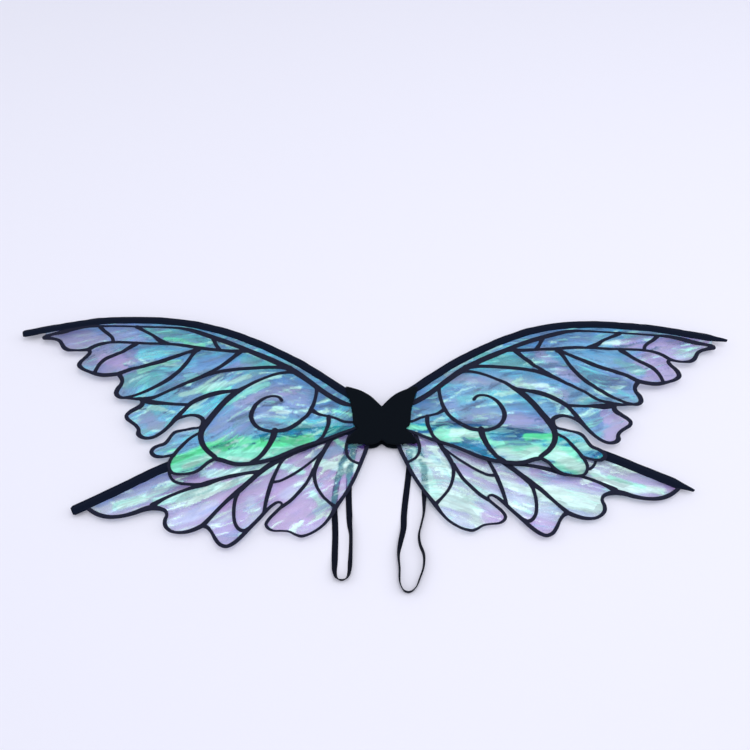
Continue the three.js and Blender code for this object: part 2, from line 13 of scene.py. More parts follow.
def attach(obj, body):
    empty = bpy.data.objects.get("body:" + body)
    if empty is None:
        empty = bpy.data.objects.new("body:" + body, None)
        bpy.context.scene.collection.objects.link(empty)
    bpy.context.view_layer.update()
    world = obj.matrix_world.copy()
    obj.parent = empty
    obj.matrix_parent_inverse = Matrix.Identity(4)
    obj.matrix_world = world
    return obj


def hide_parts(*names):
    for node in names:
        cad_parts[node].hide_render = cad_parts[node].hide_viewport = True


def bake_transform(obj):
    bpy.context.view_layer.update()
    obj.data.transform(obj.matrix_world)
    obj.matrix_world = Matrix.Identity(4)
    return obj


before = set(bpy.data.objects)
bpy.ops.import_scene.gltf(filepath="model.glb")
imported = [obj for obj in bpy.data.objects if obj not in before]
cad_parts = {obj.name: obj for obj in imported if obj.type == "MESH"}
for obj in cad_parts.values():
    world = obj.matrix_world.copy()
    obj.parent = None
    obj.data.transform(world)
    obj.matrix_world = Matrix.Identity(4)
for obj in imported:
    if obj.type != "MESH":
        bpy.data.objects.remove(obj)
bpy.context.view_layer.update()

MM = 0.001
SIDES = ("left", "right")

# ---- heights and sizes, as in the CAD source ----

UPPER_PLANE = 7.6
LOWER_PLANE = 5.0
FELT = 2.5
FRONT_PAD_BOTTOM = 10.1
WIRE_DIAMETER = 2.2
BAND_WIDTH = 7
BAND_THICKNESS = 1.1
FLOOR_Z = -2.1

# The right wings are bent and turned a little. Slopes are in millimetres per millimetre.
RIGHT_INSET = 9
RIGHT_RISE = 0.02
RIGHT_DROOP = 0.0575
RIGHT_ELBOW = 200
ELBOW_SOFTNESS = 60
RIGHT_TIP_CURL = {"sleeve": (0.075, 375, 50), "film": (0.11, 395, 15)}   # slope, start and softness
RIGHT_SLEEVE_CUT = 8
RIGHT_LOWER_TURN = math.radians(4.1)

PAD_HALF = [
    [0, 18], [6, 25], [14, 33], [24, 39.5], [34, 43.5], [43.4, 45.6], [43.8, 42.5], [41, 33], [37.5, 22],
    [35.5, 11], [34.5, 0.5], [33, -7.5], [29, -12], [32, -15.5], [36.5, -20.5], [40, -26], [41.5, -29.5],
    [39.5, -32], [34, -31.8], [28, -32.2], [21, -33], [13, -33], [6, -31.5], [2.5, -29], [0, -27.3],
]

# Lines of the left wings: x to the tip, y up, and the width of the print along the line. The free edge runs
# from the pad to the tip, one list per scallop, and each of them is also a vein.
UPPER_EDGE = [
    [[31, -9, 3.2], [40, -13, 3.4], [50, -17, 3.6], [60, -22, 3.8], [75, -28, 4], [92, -34, 4.2],
     [108, -41.5, 4.6], [124, -49, 5], [140, -54, 5], [156, -56.5, 5]],
    [[156, -56.5, 5], [166, -57, 5], [176, -55.2, 5.2], [185, -52, 5.4], [194, -50, 5]],
    [[194, -50, 4.6], [202, -55, 4.2], [209, -63.5, 4], [216, -68, 3.6], [225, -70, 3.2], [234, -70, 3.2],
     [241, -68, 3.4], [245.5, -62, 3.6], [246.5, -55, 4], [243, -45, 4]],
    [[243, -45, 4], [249, -46.3, 3.4], [257, -47.6, 3.6], [265, -46.2, 4.6], [269.3, -41, 5],
     [267.5, -36.5, 4.6], [262, -33, 4], [255.5, -30.5, 4.4], [252, -26, 4.4], [249, -20, 4],
     [245.5, -15.5, 4.2], [238, -13, 3.4], [227, -10.8, 3], [217, -9, 3.6], [213, -5, 6]],
    [[213, -5, 6], [214, 2, 5.6], [220, 6.6, 4.6], [228, 8, 3.6], [236, 6.6, 3.8], [243, 3.6, 4.2],
     [249, -1, 5]],
    [[249, -1, 5.4], [253, -6.5, 5], [257.5, -12, 4.6], [263, -17.3, 4.2], [269, -21.5, 4],
     [276, -23.4, 4], [283, -22, 4.6], [288, -17.5, 6], [288.5, -12, 4.6], [292.5, -6.5, 4.2],
     [299, -1.5, 4.2], [304.6, 3, 4.6], [306.3, 7.5, 5], [303, 11.8, 5], [296, 16.6, 5.6],
     [290.5, 21, 6.4], [289.5, 26, 6], [292, 30, 5]],
    [[292, 30, 5], [301, 30.2, 3.6], [310, 31.8, 3.6], [318.5, 33, 4.4], [323.6, 38, 6], [323, 45, 6.2],
     [319.8, 51, 5], [319.4, 56, 5], [321.5, 61, 5.6], [326, 66.5, 5.6]],
    [[326, 66.5, 5.6], [335, 65.2, 5.6], [345, 64.8, 5.6], [355, 67, 5], [364, 70.3, 4], [372, 74.3, 4.6],
     [377, 79.5, 6], [376.4, 85.5, 6], [373, 91, 5], [369.5, 95.5, 5], [367.5, 99.5, 5],
     [370.5, 103.3, 4.6]],
    [[370.5, 103.3, 4.6], [378, 102, 3.4], [388, 101.6, 3.4], [396, 102.6, 5], [401.5, 106, 5.4],
     [405, 111, 5], [408.5, 115.6, 4.6], [414, 118.4, 4.2], [421, 119.8, 4.6], [428.5, 121.2, 7.4]],
]

UPPER_VEINS = [
    # The second spar, close under the sleeve.
    [[36, 21.6, 4], [45, 24, 6.4], [58, 31, 6.8], [72, 41, 6.8], [90, 56, 7], [104, 67, 7.6], [116, 75, 8],
     [130, 83, 7.2], [146, 91, 7.4], [160, 97.5, 6.8], [172, 103, 6]],
    [[168, 101.5, 6], [184, 108.8, 6.2], [200, 115.6, 6.6], [214, 121.2, 6.4], [230, 127.6, 6.2],
     [244, 132.6, 5.4], [258, 135.6, 4], [275, 136.8, 2.8], [300, 137.6, 2.6], [330, 138.8, 2.6],
     [355, 139, 3], [378, 138.6, 5], [394, 135, 6.4], [406, 130.3, 6.4], [418, 126.8, 4.6],
     [428, 123.4, 4.6]],
    # The middle spar and its struts.
    [[168, 101, 6.4], [184, 100.2, 5], [200, 101.4, 4.2], [222, 104, 4.6], [245, 107.8, 4.4],
     [270, 110.8, 3.6], [298, 112, 3.6], [325, 113.8, 3.6], [342, 114, 3.6], [354, 112.2, 4.2],
     [363, 108.6, 4.6], [370.5, 103.3, 5]],
    [[214, 120.5, 7], [210.5, 112, 4.6], [205, 103, 5.6]],
    [[270, 111.4, 4], [282, 116.6, 6], [291, 124, 4], [302, 130.4, 4], [314, 137.6, 5.4]],
    [[340.5, 114.4, 4.4], [342.4, 120, 4.4], [347.5, 125.6, 4.4], [354, 130.6, 4.6], [361, 137.5, 5.6]],
    # Ribs of the outer scallops.
    [[311, 111.5, 7], [318, 106.2, 5.6], [326, 100, 4.6], [336, 94.4, 4.8], [346, 88.6, 5.2], [352, 81, 5],
     [354.5, 74, 4.6], [356, 67.5, 5]],
    [[231, 103, 7], [243, 98.6, 4.6], [258, 92, 5.2], [276, 84.6, 5.6], [296, 78.6, 5], [312, 73, 5.2],
     [326, 66.5, 6]],
    [[234, 101, 6], [238.5, 93, 4.8], [243, 83, 5], [251.5, 70.5, 5.2], [261, 59.6, 5.6], [274, 49.6, 4.6],
     [288, 41, 4.2], [302, 34.6, 3.6], [313, 32.2, 3.6]],
    [[114, 75, 7.6], [126, 76.2, 5.2], [144, 76, 4.6], [162, 74.8, 4.6], [182, 73, 4.6], [200, 69.8, 4.8],
     [216, 64.6, 5], [230, 58, 4.8], [246, 49.8, 4], [262, 40.6, 3.8], [276, 32.8, 4.4], [290, 29.4, 6]],
    [[178, 99.4, 7], [185, 92, 5.4], [192.5, 84.4, 5.4], [202, 76, 4.6], [213, 68.6, 4.6], [228, 59.4, 5]],
    [[290, 28, 6], [278, 25.4, 6.4], [262, 24, 4.4], [246, 23, 3.8], [232, 22.4, 4.4]],
    # The great loop.
    [[104, 68.4, 6], [116, 69, 4], [130, 66.4, 3.8], [144, 60.8, 3.6], [158, 53.4, 4.2], [168, 46.8, 5],
     [178, 39.6, 7.4], [187, 30.4, 7.4], [195, 20, 7.6], [202, 9, 7.6], [208.5, -2, 8], [213, -11, 7.6],
     [214, -20, 7], [211, -30, 6.4], [204.5, -39, 5.8], [194, -48, 5.4]],
    [[174, 42.6, 6], [186, 41.4, 4.6], [198, 39.6, 6], [210, 36, 6.2], [222, 30.4, 6], [231.5, 24, 5.6],
     [237, 16.6, 5.2], [243, 8.4, 5.8], [249, -1, 5.6]],
    [[213, -15, 4], [220, -18.6, 3.4], [227, -24, 3.6], [234, -32.4, 4.4], [239.5, -40, 4.4], [243, -46, 5]],
    # The curl and what holds it.
    [[79, 47, 5.6], [79.6, 38, 4.4], [81, 28, 4.4], [83.6, 19, 5.2], [88, 9.6, 4.6], [95, 1.4, 4.6],
     [103.5, -5.6, 5.4], [113, -11.2, 5], [123, -13.4, 4.6], [134, -13.4, 4.2], [145, -10, 4.2],
     [153, -2.6, 5], [156.6, 7, 5.8], [154.6, 17, 5.4], [149, 26, 4.6], [140.6, 32.4, 3.4],
     [131.4, 34.6, 3], [125, 33, 3.4], [121.3, 28.8, 4.4]],
    [[127, -13, 8], [128, -20, 7.6], [131, -29, 6.4], [136, -39, 5.8], [143, -48.4, 5.2], [151, -54.4, 5]],
    # Small veins beside the pad.
    [[33, -1.8, 3.2], [45, -0.8, 3.4], [56, 4, 3.2], [68, 7, 3], [76, 9, 3.4], [84.5, 14.5, 6]],
    [[63.5, 5.5, 5.6], [63.6, -4, 5], [66.6, -13.6, 4.2], [70, -21.6, 4], [76, -28, 4.2]],
]

UPPER = {
    "name": "upper",
    "plane": UPPER_PLANE,
    "fold": [[46.5, 50], [37, -12]],
    "sleeve_width": 10.5,
    "creases": {"count": 90, "reach": (40, 400), "turn": (-0.32, 0.62)},
    "relief": (-0.05, 3.2),                   # lowest relief over the plane, and its span
    "grain": {"left": 0.36, "right": 0.12},   # direction of the streaks in the film, radians
    # The film's look at rest and the looks laid over it with their strengths, the last two a painted
    # highlight and painted shade along the creases, then how strongly the finest streaks add to the painted
    # highlight, and by how many millimetres all streaks bend.
    "rest": "sky", "waves": "lilac", "hollows": ("blue", 0.9), "ridges": ("cyan", 0.9),
    "painted_highlight": ("milk", 1.5), "painted_shade": ("deep", 1.5), "hair": 0.4, "streak_bend": 13,
    "leading_edge": [
        [38, 36], [50, 44.8], [70, 59.5], [100, 80.5], [130, 98], [160, 113.5], [200, 130], [240, 141.3],
        [280, 147], [320, 148.5], [360, 147], [400, 140.2], [430, 133.5], [458, 126.8],
    ],
    "edge": UPPER_EDGE,
    "veins": UPPER_VEINS,
}

LOWER_EDGE = [
    [[17, -31, 5], [19.5, -40, 5], [23, -50, 4.8], [28, -64, 4.4], [34, -78, 4.4], [41, -91.4, 4.2],
     [47.6, -102, 4.6], [53, -111, 5.4]],
    [[53, -111, 5.4], [58, -120, 3.8], [65, -129.6, 3.2], [74, -137, 3], [82, -141.4, 3],
     [89.5, -143.4, 3.4], [96, -141.4, 2.8], [103, -138.2, 2.4], [112, -137.2, 2.4], [121, -136.8, 2.6],
     [126.6, -134.2, 3.4], [129.2, -130, 3.8], [126.5, -123.6, 3.8], [120.5, -116.4, 3.8],
     [113.4, -108.8, 3.6]],
    [[113.4, -108.8, 3.4], [113.3, -104.6, 2.8], [117.4, -103.2, 3.2], [124, -107.2, 3.8],
     [131, -114.6, 4.2], [139, -124.6, 4.4], [148, -135, 4.8], [156, -144.6, 4.8], [164, -152, 4.6],
     [171, -155.2, 4.2], [178, -153, 4.2], [184, -146.4, 4.2], [189, -138.6, 3.6], [194, -133.2, 4.4],
     [199.5, -130.8, 5.6]],
    [[199.5, -130.8, 5.6], [208, -135.4, 5], [218, -138.6, 4.2], [228, -139, 3.4], [236, -136.2, 3.8],
     [241.4, -130.6, 4.6], [242.4, -124.6, 4.4], [241.2, -118.6, 3.8], [243.4, -113.8, 4],
     [250, -111, 5.2], [259, -109.4, 7.4]],
    [[259, -109.4, 7.4], [268, -111.8, 6.2], [279, -116.4, 5.2], [292, -120, 4.6], [306, -120.8, 4.8],
     [318, -118, 5], [328, -112.6, 4.6], [334, -108, 4.6]],
]

LOWER_VEINS = [
    # The vein that follows the shadow line of the upper wing, then crosses the panel.
    [[45, -17, 3.6], [62, -24, 4.6], [80, -31.4, 5], [100, -39.4, 5.6], [118, -49.6, 6.6],
     [132, -58.8, 6.4], [144, -69.4, 6.2], [155, -81, 6.4], [163.6, -89.6, 7], [174, -99.6, 5],
     [184, -111, 4.6], [192, -121.4, 4.6], [199.5, -130.8, 6]],
    # The long outer cell.
    [[140, -65.4, 5], [156, -67.4, 4], [172, -70.6, 4.4], [188, -75.4, 5], [204, -81.4, 6.6],
     [218, -85.6, 4.2], [232, -91.2, 3.6], [246, -98.2, 4], [259, -107, 7]],
    [[206, -82, 5.6], [218, -81.2, 3.6], [230, -80, 3.4], [238.6, -77, 3.4], [243.8, -71, 3.4],
     [246.6, -63, 3.6]],
    # The inner cells.
    [[163, -89, 5.6], [165.8, -98, 4.4], [166.8, -109, 4.2], [165.8, -121, 4], [163, -130, 4],
     [158, -135.6, 4.2], [152.6, -137, 4.4], [147, -133.6, 4.6]],
    [[112, -45.6, 5.6], [117.4, -54, 3.8], [122, -65, 4], [125.8, -76, 4.8], [128.6, -88, 5.2],
     [131, -101, 4.6], [132.6, -115.4, 4]],
    [[60, -23, 5], [65, -32.4, 5], [70, -42.6, 5.2], [74.8, -53, 5.6], [78, -64, 5], [77.4, -74, 4.2],
     [73.6, -85.6, 3.6], [66.6, -96, 3.4], [59, -103.6, 3.6], [53.4, -108.6, 5]],
    [[79, -62, 5], [82.4, -70, 4], [87.4, -80, 3.8], [95, -90.6, 4.2], [104, -101.4, 4.2], [113, -108.6, 4]],
    [[68, -38, 4], [75, -45.2, 3], [85, -54.6, 3], [96, -63.8, 3.2], [108, -72.4, 3.2], [117, -77.2, 3.2],
     [126, -78.8, 4]],
    # The small loop at the pad's corner.
    [[36, -13.4, 4], [39, -20.6, 4], [41, -28, 4], [42, -36, 4], [40.4, -44, 3.4], [36, -50, 3.2],
     [30, -53.4, 3], [25.4, -55.2, 3.4]],
]

LOWER = {
    "name": "lower",
    "plane": LOWER_PLANE,
    "fold": [[38.5, -8], [22, -40]],
    "sleeve_width": 12,
    "creases": {"count": 64, "reach": (30, 300), "turn": (-1.2, -0.12)},
    "relief": (-3.0, 4.3),
    "grain": {"left": 0.38, "right": -0.25},
    # The lower film's looks, laid as for the upper wing: its painted highlight is pale and its painted shade
    # lilac.
    "rest": "lavender", "waves": "rose", "hollows": ("lilac", 0.35), "ridges": ("ice", 0.6),
    "painted_highlight": ("pale", 1.5), "painted_shade": ("lilac", 0.5), "hair": 0.75, "streak_bend": 8,
    "leading_edge": [
        [33, -11], [50, -11.2], [70, -12], [100, -15], [130, -20], [160, -26], [190, -34], [215, -42.5],
        [242, -55], [270, -69.8], [300, -87], [348.5, -114.2],
    ],
    "edge": LOWER_EDGE,
    "veins": LOWER_VEINS,
}

# The arm loops from the inner sewn end round to the outer one: x, y and the roll of the band in degrees.
STRAPS = {
    "left": [
        [-32, -33.2, 0], [-35.2, -46, 0], [-38, -73, 0], [-37.8, -99, 0], [-37, -115, -10],
        [-36.4, -127, -35], [-34.9, -139, -57], [-34.7, -152, -57], [-34.9, -163, -52], [-35.2, -172, -46],
        [-35.7, -181, -55], [-38, -188.6, -68], [-43.8, -191.4, -84], [-49.6, -188.8, -68],
        [-51.9, -181.5, -50], [-52, -173, -30], [-52.2, -160, 0], [-52.2, -141, 0], [-53, -123, 0],
        [-54.2, -105, 0], [-53, -84, 0], [-48.4, -58, 0], [-40.8, -33.2, 0],
    ],
    "right": [
        [31.8, -33.2, 0], [32.4, -50, 0], [29.8, -75, 0], [26.7, -98, 0], [24.5, -118, 0], [24.3, -126, 12],
        [23.5, -134, 28], [20.3, -148, 45], [17.8, -162, 66], [18.7, -178, 75], [18.9, -194, 79],
        [23.2, -202.9, 84], [29.4, -204.4, 86], [35.6, -199.6, 82], [40.5, -189, 78], [44.9, -176, 77],
        [45.5, -163, 77], [41.6, -151, 77], [40.8, -140, 77], [43.7, -128, 76], [46.9, -115, 73],
        [47.8, -102, 60], [48.4, -90, 35], [49.6, -73, 0], [48.4, -52, 0], [41.6, -33.2, 0],
    ],
}

# ---- camera ----

TARGET = Vector((-8, 65, UPPER_PLANE)) * MM
CAMERA_ELEVATION = math.radians(58)
CAMERA_DISTANCE = 0.998
LENS, SENSOR_WIDTH = 38.688, 36

camera_data = bpy.data.cameras.new("camera")
camera = bpy.data.objects.new("camera", camera_data)
bpy.context.scene.collection.objects.link(camera)
back = Vector((0, -math.cos(CAMERA_ELEVATION), math.sin(CAMERA_ELEVATION)))
camera.location = TARGET + back * CAMERA_DISTANCE
camera.rotation_euler = (math.pi / 2 - CAMERA_ELEVATION, 0, 0)
camera_data.sensor_width = SENSOR_WIDTH
camera_data.lens = LENS
camera_data.clip_start, camera_data.clip_end = 0.01, 50
bpy.context.scene.camera = camera

# ---- curves ----


def between(t, start, t_start, end, t_end):
    run = t_end - t_start
    return (t_end - t) / run * start + (t - t_start) / run * end


def smooth(points, step=2.0):
    """A centripetal Catmull-Rom curve through the points, with a point about every step millimetres."""
    p = [np.array(q, float) for q in points]
    if len(p) == 2:
        n = max(2, int(np.linalg.norm((p[1] - p[0])[:2]) / step))
        return np.array([p[0] + (p[1] - p[0]) * k / n for k in range(n + 1)])
    p = [2 * p[0] - p[1], *p, 2 * p[-1] - p[-2]]
    out = [p[1]]
    for a, b, c, d in zip(p, p[1:], p[2:], p[3:]):
        gap = [max(np.linalg.norm((v - u)[:2]) ** 0.5, 1e-4) for u, v in ((a, b), (b, c), (c, d))]
        t0, t1 = 0, gap[0]
        t2, t3 = t1 + gap[1], t1 + gap[1] + gap[2]
        n = max(1, round(gap[1] ** 2 / step))
        for k in range(1, n + 1):
            t = t1 + (t2 - t1) * k / n
            ab, bc, cd = between(t, a, t0, b, t1), between(t, b, t1, c, t2), between(t, c, t2, d, t3)
            abc, bcd = between(t, ab, t0, bc, t2), between(t, bc, t1, cd, t3)
            out.append(between(t, abc, t1, bcd, t2))
    return np.array(out)


def placed(side, wing, line, piece="film"):
    """Where a line of the left wing goes on each side: the right wings are bent and turned a little."""

    def bend(slope, start, softness):
        return slope * (x - start + np.hypot(x - start, softness))

    line = np.array(line, float)
    x, y = line[:, 0].copy(), line[:, 1].copy()
    if side == "left":
        line[:, 0] = -x
    elif wing is LOWER:
        c, s = math.cos(RIGHT_LOWER_TURN), math.sin(RIGHT_LOWER_TURN)
        line[:, 0], line[:, 1] = x * c - y * s, x * s + y * c
    else:
        rise = RIGHT_RISE * np.minimum(x, RIGHT_ELBOW) + bend(*RIGHT_TIP_CURL[piece])
        line[:, 0] = x - RIGHT_INSET
        line[:, 1] = y + rise - bend(RIGHT_DROOP, RIGHT_ELBOW, ELBOW_SOFTNESS)
    return line


def leading_line(side, wing, step=2.0):
    """The middle line of a wing's sleeve, placed."""
    line = smooth(wing["leading_edge"], step)
    if side == "right" and wing is UPPER:
        line = line[line[:, 0] < line[-1, 0] - RIGHT_SLEEVE_CUT]
    return placed(side, wing, line, "sleeve")


def headings(line):
    longer = np.concatenate([line[:1], line, line[-1:]])
    x, y = (longer[2:] - longer[:-2])[:, :2].T
    return np.arctan2(y, x)


def cross_lines(line):
    """The direction to the right of the line at each point."""
    turn = headings(line)
    return np.stack([np.sin(turn), -np.cos(turn)], 1)


def fold_line(side, wing):
    """The fold line's middle and the direction away from the pad."""
    (ax, ay), (bx, by) = wing["fold"]
    sign = -1 if side == "left" else 1
    along = np.array([sign * (bx - ax), by - ay])
    along /= np.linalg.norm(along)
    out = np.array([along[1], -along[0]])
    if out[0] * sign < 0:
        out = -out
    return np.array([sign * (ax + bx) / 2, (ay + by) / 2]), out


# ---- the wings' surfaces: tight creases that radiate from the pad, flattened at the sleeves ----


def distance_to_line(points, line):
    """The distance of each point to the nearest point of a fine line."""
    best = np.full(len(points), np.inf)
    for x, y in line[:, :2]:
        best = np.minimum(best, (points[:, 0] - x) ** 2 + (points[:, 1] - y) ** 2)
    return np.sqrt(best)


def noise(u, v, seed):
    """Smooth noise from -1 to 1 over a lattice of unit cells."""
    size = 64
    table = np.random.default_rng(seed).uniform(-1, 1, (size, size))
    iu, iv = np.floor(u).astype(int), np.floor(v).astype(int)
    fu, fv = u - iu, v - iv
    fu, fv = fu * fu * (3 - 2 * fu), fv * fv * (3 - 2 * fv)

    def at(a, b):
        return table[(iu + a) % size, (iv + b) % size]

    return (at(0, 0) * (1 - fu) + at(1, 0) * fu) * (1 - fv) + (at(0, 1) * (1 - fu) + at(1, 1) * fu) * fv


def rough(points, seed, size, turn=0.0, stretch=1.0, octaves=3):
    """Fractal noise about size millimetres across, stretched along a direction."""
    c, s = math.cos(turn), math.sin(turn)
    u = (points[:, 0] * c + points[:, 1] * s) / (size * stretch)
    v = (points[:, 1] * c - points[:, 0] * s) / size
    fade, gain = 0.6, 1.6
    total, weight = np.zeros(len(points)), 0
    for k in range(octaves):
        total += noise(u * 2 ** k + 7.3 * k, v * 2 ** k + 3.1 * k, seed + k) * fade ** k
        weight += fade ** k
    return total / weight * gain


CREASE_CENTRE = (20, -5)            # the creases radiate from here, beside the pad
CREASE_LENGTH = (14, 60)            # half length
CREASE_WIDTH = (3.5, 12)            # half width
CREASE_SLOPE = (0.07, 0.2)
CREASE_SPREAD = 0.25                # of their directions, radians
CROSSING_SHARE, CROSSING_TURN = 0.25, 1.2
RAISED_SHARE = 0.6
CALM_NEAR = 4                       # no relief this near the fold line or the sleeve
CALM_BY_FOLD, CALM_BY_SLEEVE = 22, 14
TIP_START, TIP_RUN, TIP_DROP = 285, 30, 2.6   # no lower wing lies under the upper wing's tip


def share_of(values, start, run):
    """0 up to the start, 1 from start + run on."""
    return np.clip((values - start) / run, 0, 1)


class Surface:
    """The height and the slope of one wing's film."""

    def __init__(self, side, wing, seed):
        self.side, self.wing, self.seed = side, wing, seed
        self.sign = -1 if side == "left" else 1
        self.spine = leading_line(side, wing, 4)
        self.fold_point, self.out = fold_line(side, wing)
        random = np.random.default_rng(seed)
        self.creases = []
        for _ in range(wing["creases"]["count"]):
            reach = random.uniform(*wing["creases"]["reach"])
            turn = random.uniform(*wing["creases"]["turn"])
            middle = CREASE_CENTRE + reach * np.array([math.cos(turn), math.sin(turn)])
            lean = turn / 2 + wing["grain"][side] * self.sign + random.normal(0, CREASE_SPREAD)
            if random.random() < CROSSING_SHARE:
                lean += random.uniform(-CROSSING_TURN, CROSSING_TURN)
            length = random.uniform(*CREASE_LENGTH)
            width = random.uniform(*CREASE_WIDTH)
            depth = random.uniform(*CREASE_SLOPE) * width * (1 if random.random() < RAISED_SHARE else -1)
            turned = lean if self.sign > 0 else math.pi - lean
            self.creases.append((middle * [self.sign, 1], turned, length, width, depth))

    def relief(self, points):
        """Height over the wing's plane before limits, and the slope towards the light."""
        height = np.zeros(len(points))
        slope = np.zeros(len(points))
        for middle, lean, length, width, depth in self.creases:
            c, s = math.cos(lean), math.sin(lean)
            dx, dy = points[:, 0] - middle[0], points[:, 1] - middle[1]
            along, across = dx * c + dy * s, -dx * s + dy * c
            near = (np.abs(along) < length) & (np.abs(across) < width)
            if not near.any():
                continue
            window = np.cos(along[near] / length * math.pi / 2) ** 0.7
            narrow = width * window
            tent = np.maximum(0, 1 - np.abs(across[near]) / np.maximum(narrow, 0.2))
            height[near] += depth * window * tent
            inside = tent > 0
            tilt = -np.sign(across[near]) * depth / width * inside
            slope[near] += tilt * c + 0.35 * tilt * s
        return height, slope

    def height(self, points):
        points = np.asarray(points, float)[:, :2]
        relief, _ = self.relief(points)
        relief += 0.9 * rough(points, self.seed + 7, 70, octaves=2)
        from_fold = (points - self.fold_point) @ self.out
        from_sleeve = distance_to_line(points, self.spine)
        calm = share_of(from_fold, CALM_NEAR, CALM_BY_FOLD)
        calm *= share_of(from_sleeve, CALM_NEAR, CALM_BY_SLEEVE)
        low, span = self.wing["relief"]
        if self.wing is UPPER:
            low = low - TIP_DROP * share_of(np.abs(points[:, 0]), TIP_START, TIP_RUN)
        relief = relief * calm
        limited = low + span * (1 + np.tanh((relief - low - span / 2) / (span / 2))) / 2
        limited = np.where(relief < low + span * 0.05, np.maximum(relief, low), limited) * calm
        return self.wing["plane"] + limited


def linear(*colour):
    """A colour of 0 to 255 in the linear values that the shaders take."""
    return [((c / 255 + 0.055) / 1.055) ** 2.4 for c in colour]


# What the film looks like over the floor, and how much of what lies under it each look hides.
LOOKS = {
    "lavender": (linear(194, 184, 222), 0.30),
    "rose": (linear(200, 180, 220), 0.32),
    "dusk": (linear(156, 154, 193), 0.42),
    "plum": (linear(132, 108, 156), 0.5),
    "ice": (linear(202, 212, 238), 0.35),
    # pale and milk are painted highlights: the lights' reflection along the film's creases.
    "pale": (linear(218, 246, 241), 0.85),
    "milk": (linear(186, 234, 229), 0.75),
    "mint": (linear(148, 242, 214), 0.78),
    "green": (linear(108, 236, 172), 0.76),
    "sea": (linear(92, 176, 180), 0.62),
    "reef": (linear(108, 160, 176), 0.7),
    "cyan": (linear(118, 206, 222), 0.6),
    "sky": (linear(124, 178, 216), 0.52),
    "lilac": (linear(150, 166, 212), 0.44),
    "blue": (linear(92, 142, 194), 0.62),
    "deep": (linear(66, 108, 152), 0.72),
}
GROUND = np.array(linear(243, 243, 255))
GROUND_LIGHT = 1.04              # how bright a white sheet turns out under the lights

# Brushed patches of the film, laid over each other: look, strength and half width, then the points of the
# middle line, x and y in turn. The pale and milk patches are painted highlights along the creases.
BRUSHED = {}
BRUSHED["upper", "left"] = [
    ("dusk", 0.9, 36, 440, 122, 385, 104, 335, 84), ("rose", 0.6, 9, 350, 92, 322, 82),
    ("lilac", 0.8, 12, 338, 126, 310, 120), ("sea", 0.8, 5, 300, 131, 262, 126, 210, 112),
    ("green", 0.6, 3, 275, 120, 225, 108), ("milk", 0.8, 4, 222, 124, 176, 103, 134, 82, 104, 62),
    ("deep", 0.6, 4, 330, 104, 296, 108, 268, 112), ("deep", 0.6, 5, 262, 92, 240, 100, 216, 96),
    ("cyan", 0.9, 8, 300, 96, 276, 100), ("cyan", 0.8, 8, 276, 66, 252, 74),
    ("sea", 0.7, 10, 312, 56, 280, 58), ("deep", 0.75, 9, 268, 44, 232, 56, 200, 66),
    ("blue", 0.8, 9, 226, 86, 190, 92), ("sea", 0.7, 9, 170, 88, 140, 80, 120, 72),
    ("deep", 0.7, 4, 312, 76, 284, 84, 262, 80), ("mint", 0.7, 3, 300, 70, 276, 82, 252, 86),
    ("deep", 0.6, 4, 246, 50, 220, 60, 196, 70, 176, 76),
    ("milk", 0.9, 5, 244, 37, 214, 46, 188, 53, 164, 63), ("mint", 0.7, 5, 216, 42, 186, 46),
    ("milk", 0.9, 5, 240, 16, 218, 27, 196, 39), ("milk", 0.8, 4, 300, 14, 276, 19, 250, 12),
    ("dusk", 0.7, 11, 282, 2, 264, -8), ("blue", 0.85, 11, 152, 58, 118, 66, 92, 52),
    ("lilac", 0.85, 22, 196, -6, 160, 12, 112, 32), ("rose", 0.5, 5, 176, 24, 130, 40, 104, 44),
    ("deep", 0.5, 4, 182, 4, 160, 8), ("milk", 0.8, 3, 174, 44, 148, 58, 126, 64),
    ("mint", 0.6, 3, 190, 22, 166, 38, 140, 52), ("deep", 0.5, 4, 150, 30, 128, 44, 108, 48),
    ("pale", 0.7, 2.5, 126, 12, 112, 11), ("sea", 0.9, 5, 128, -13, 96, -9, 64, -8),
    ("sky", 0.8, 8, 222, -24, 204, -22),
    ("green", 0.95, 15, 240, -54, 206, -42, 166, -33, 120, -30, 88, -26),
    ("deep", 0.5, 2.5, 200, -36, 170, -28), ("sea", 0.7, 2.5, 178, -38, 150, -30),
    ("mint", 1.0, 10, 236, -62, 214, -52, 196, -44, 158, -46, 128, -42, 96, -36),
    ("pale", 0.6, 3, 228, -60, 206, -50, 190, -40), ("pale", 0.55, 3, 178, -49, 150, -52, 132, -46),
    ("sea", 0.8, 7, 66, -16, 42, -10), ("deep", 0.6, 6, 58, 6, 40, 2), ("mint", 0.8, 3, 58, 14, 38, 10),
]
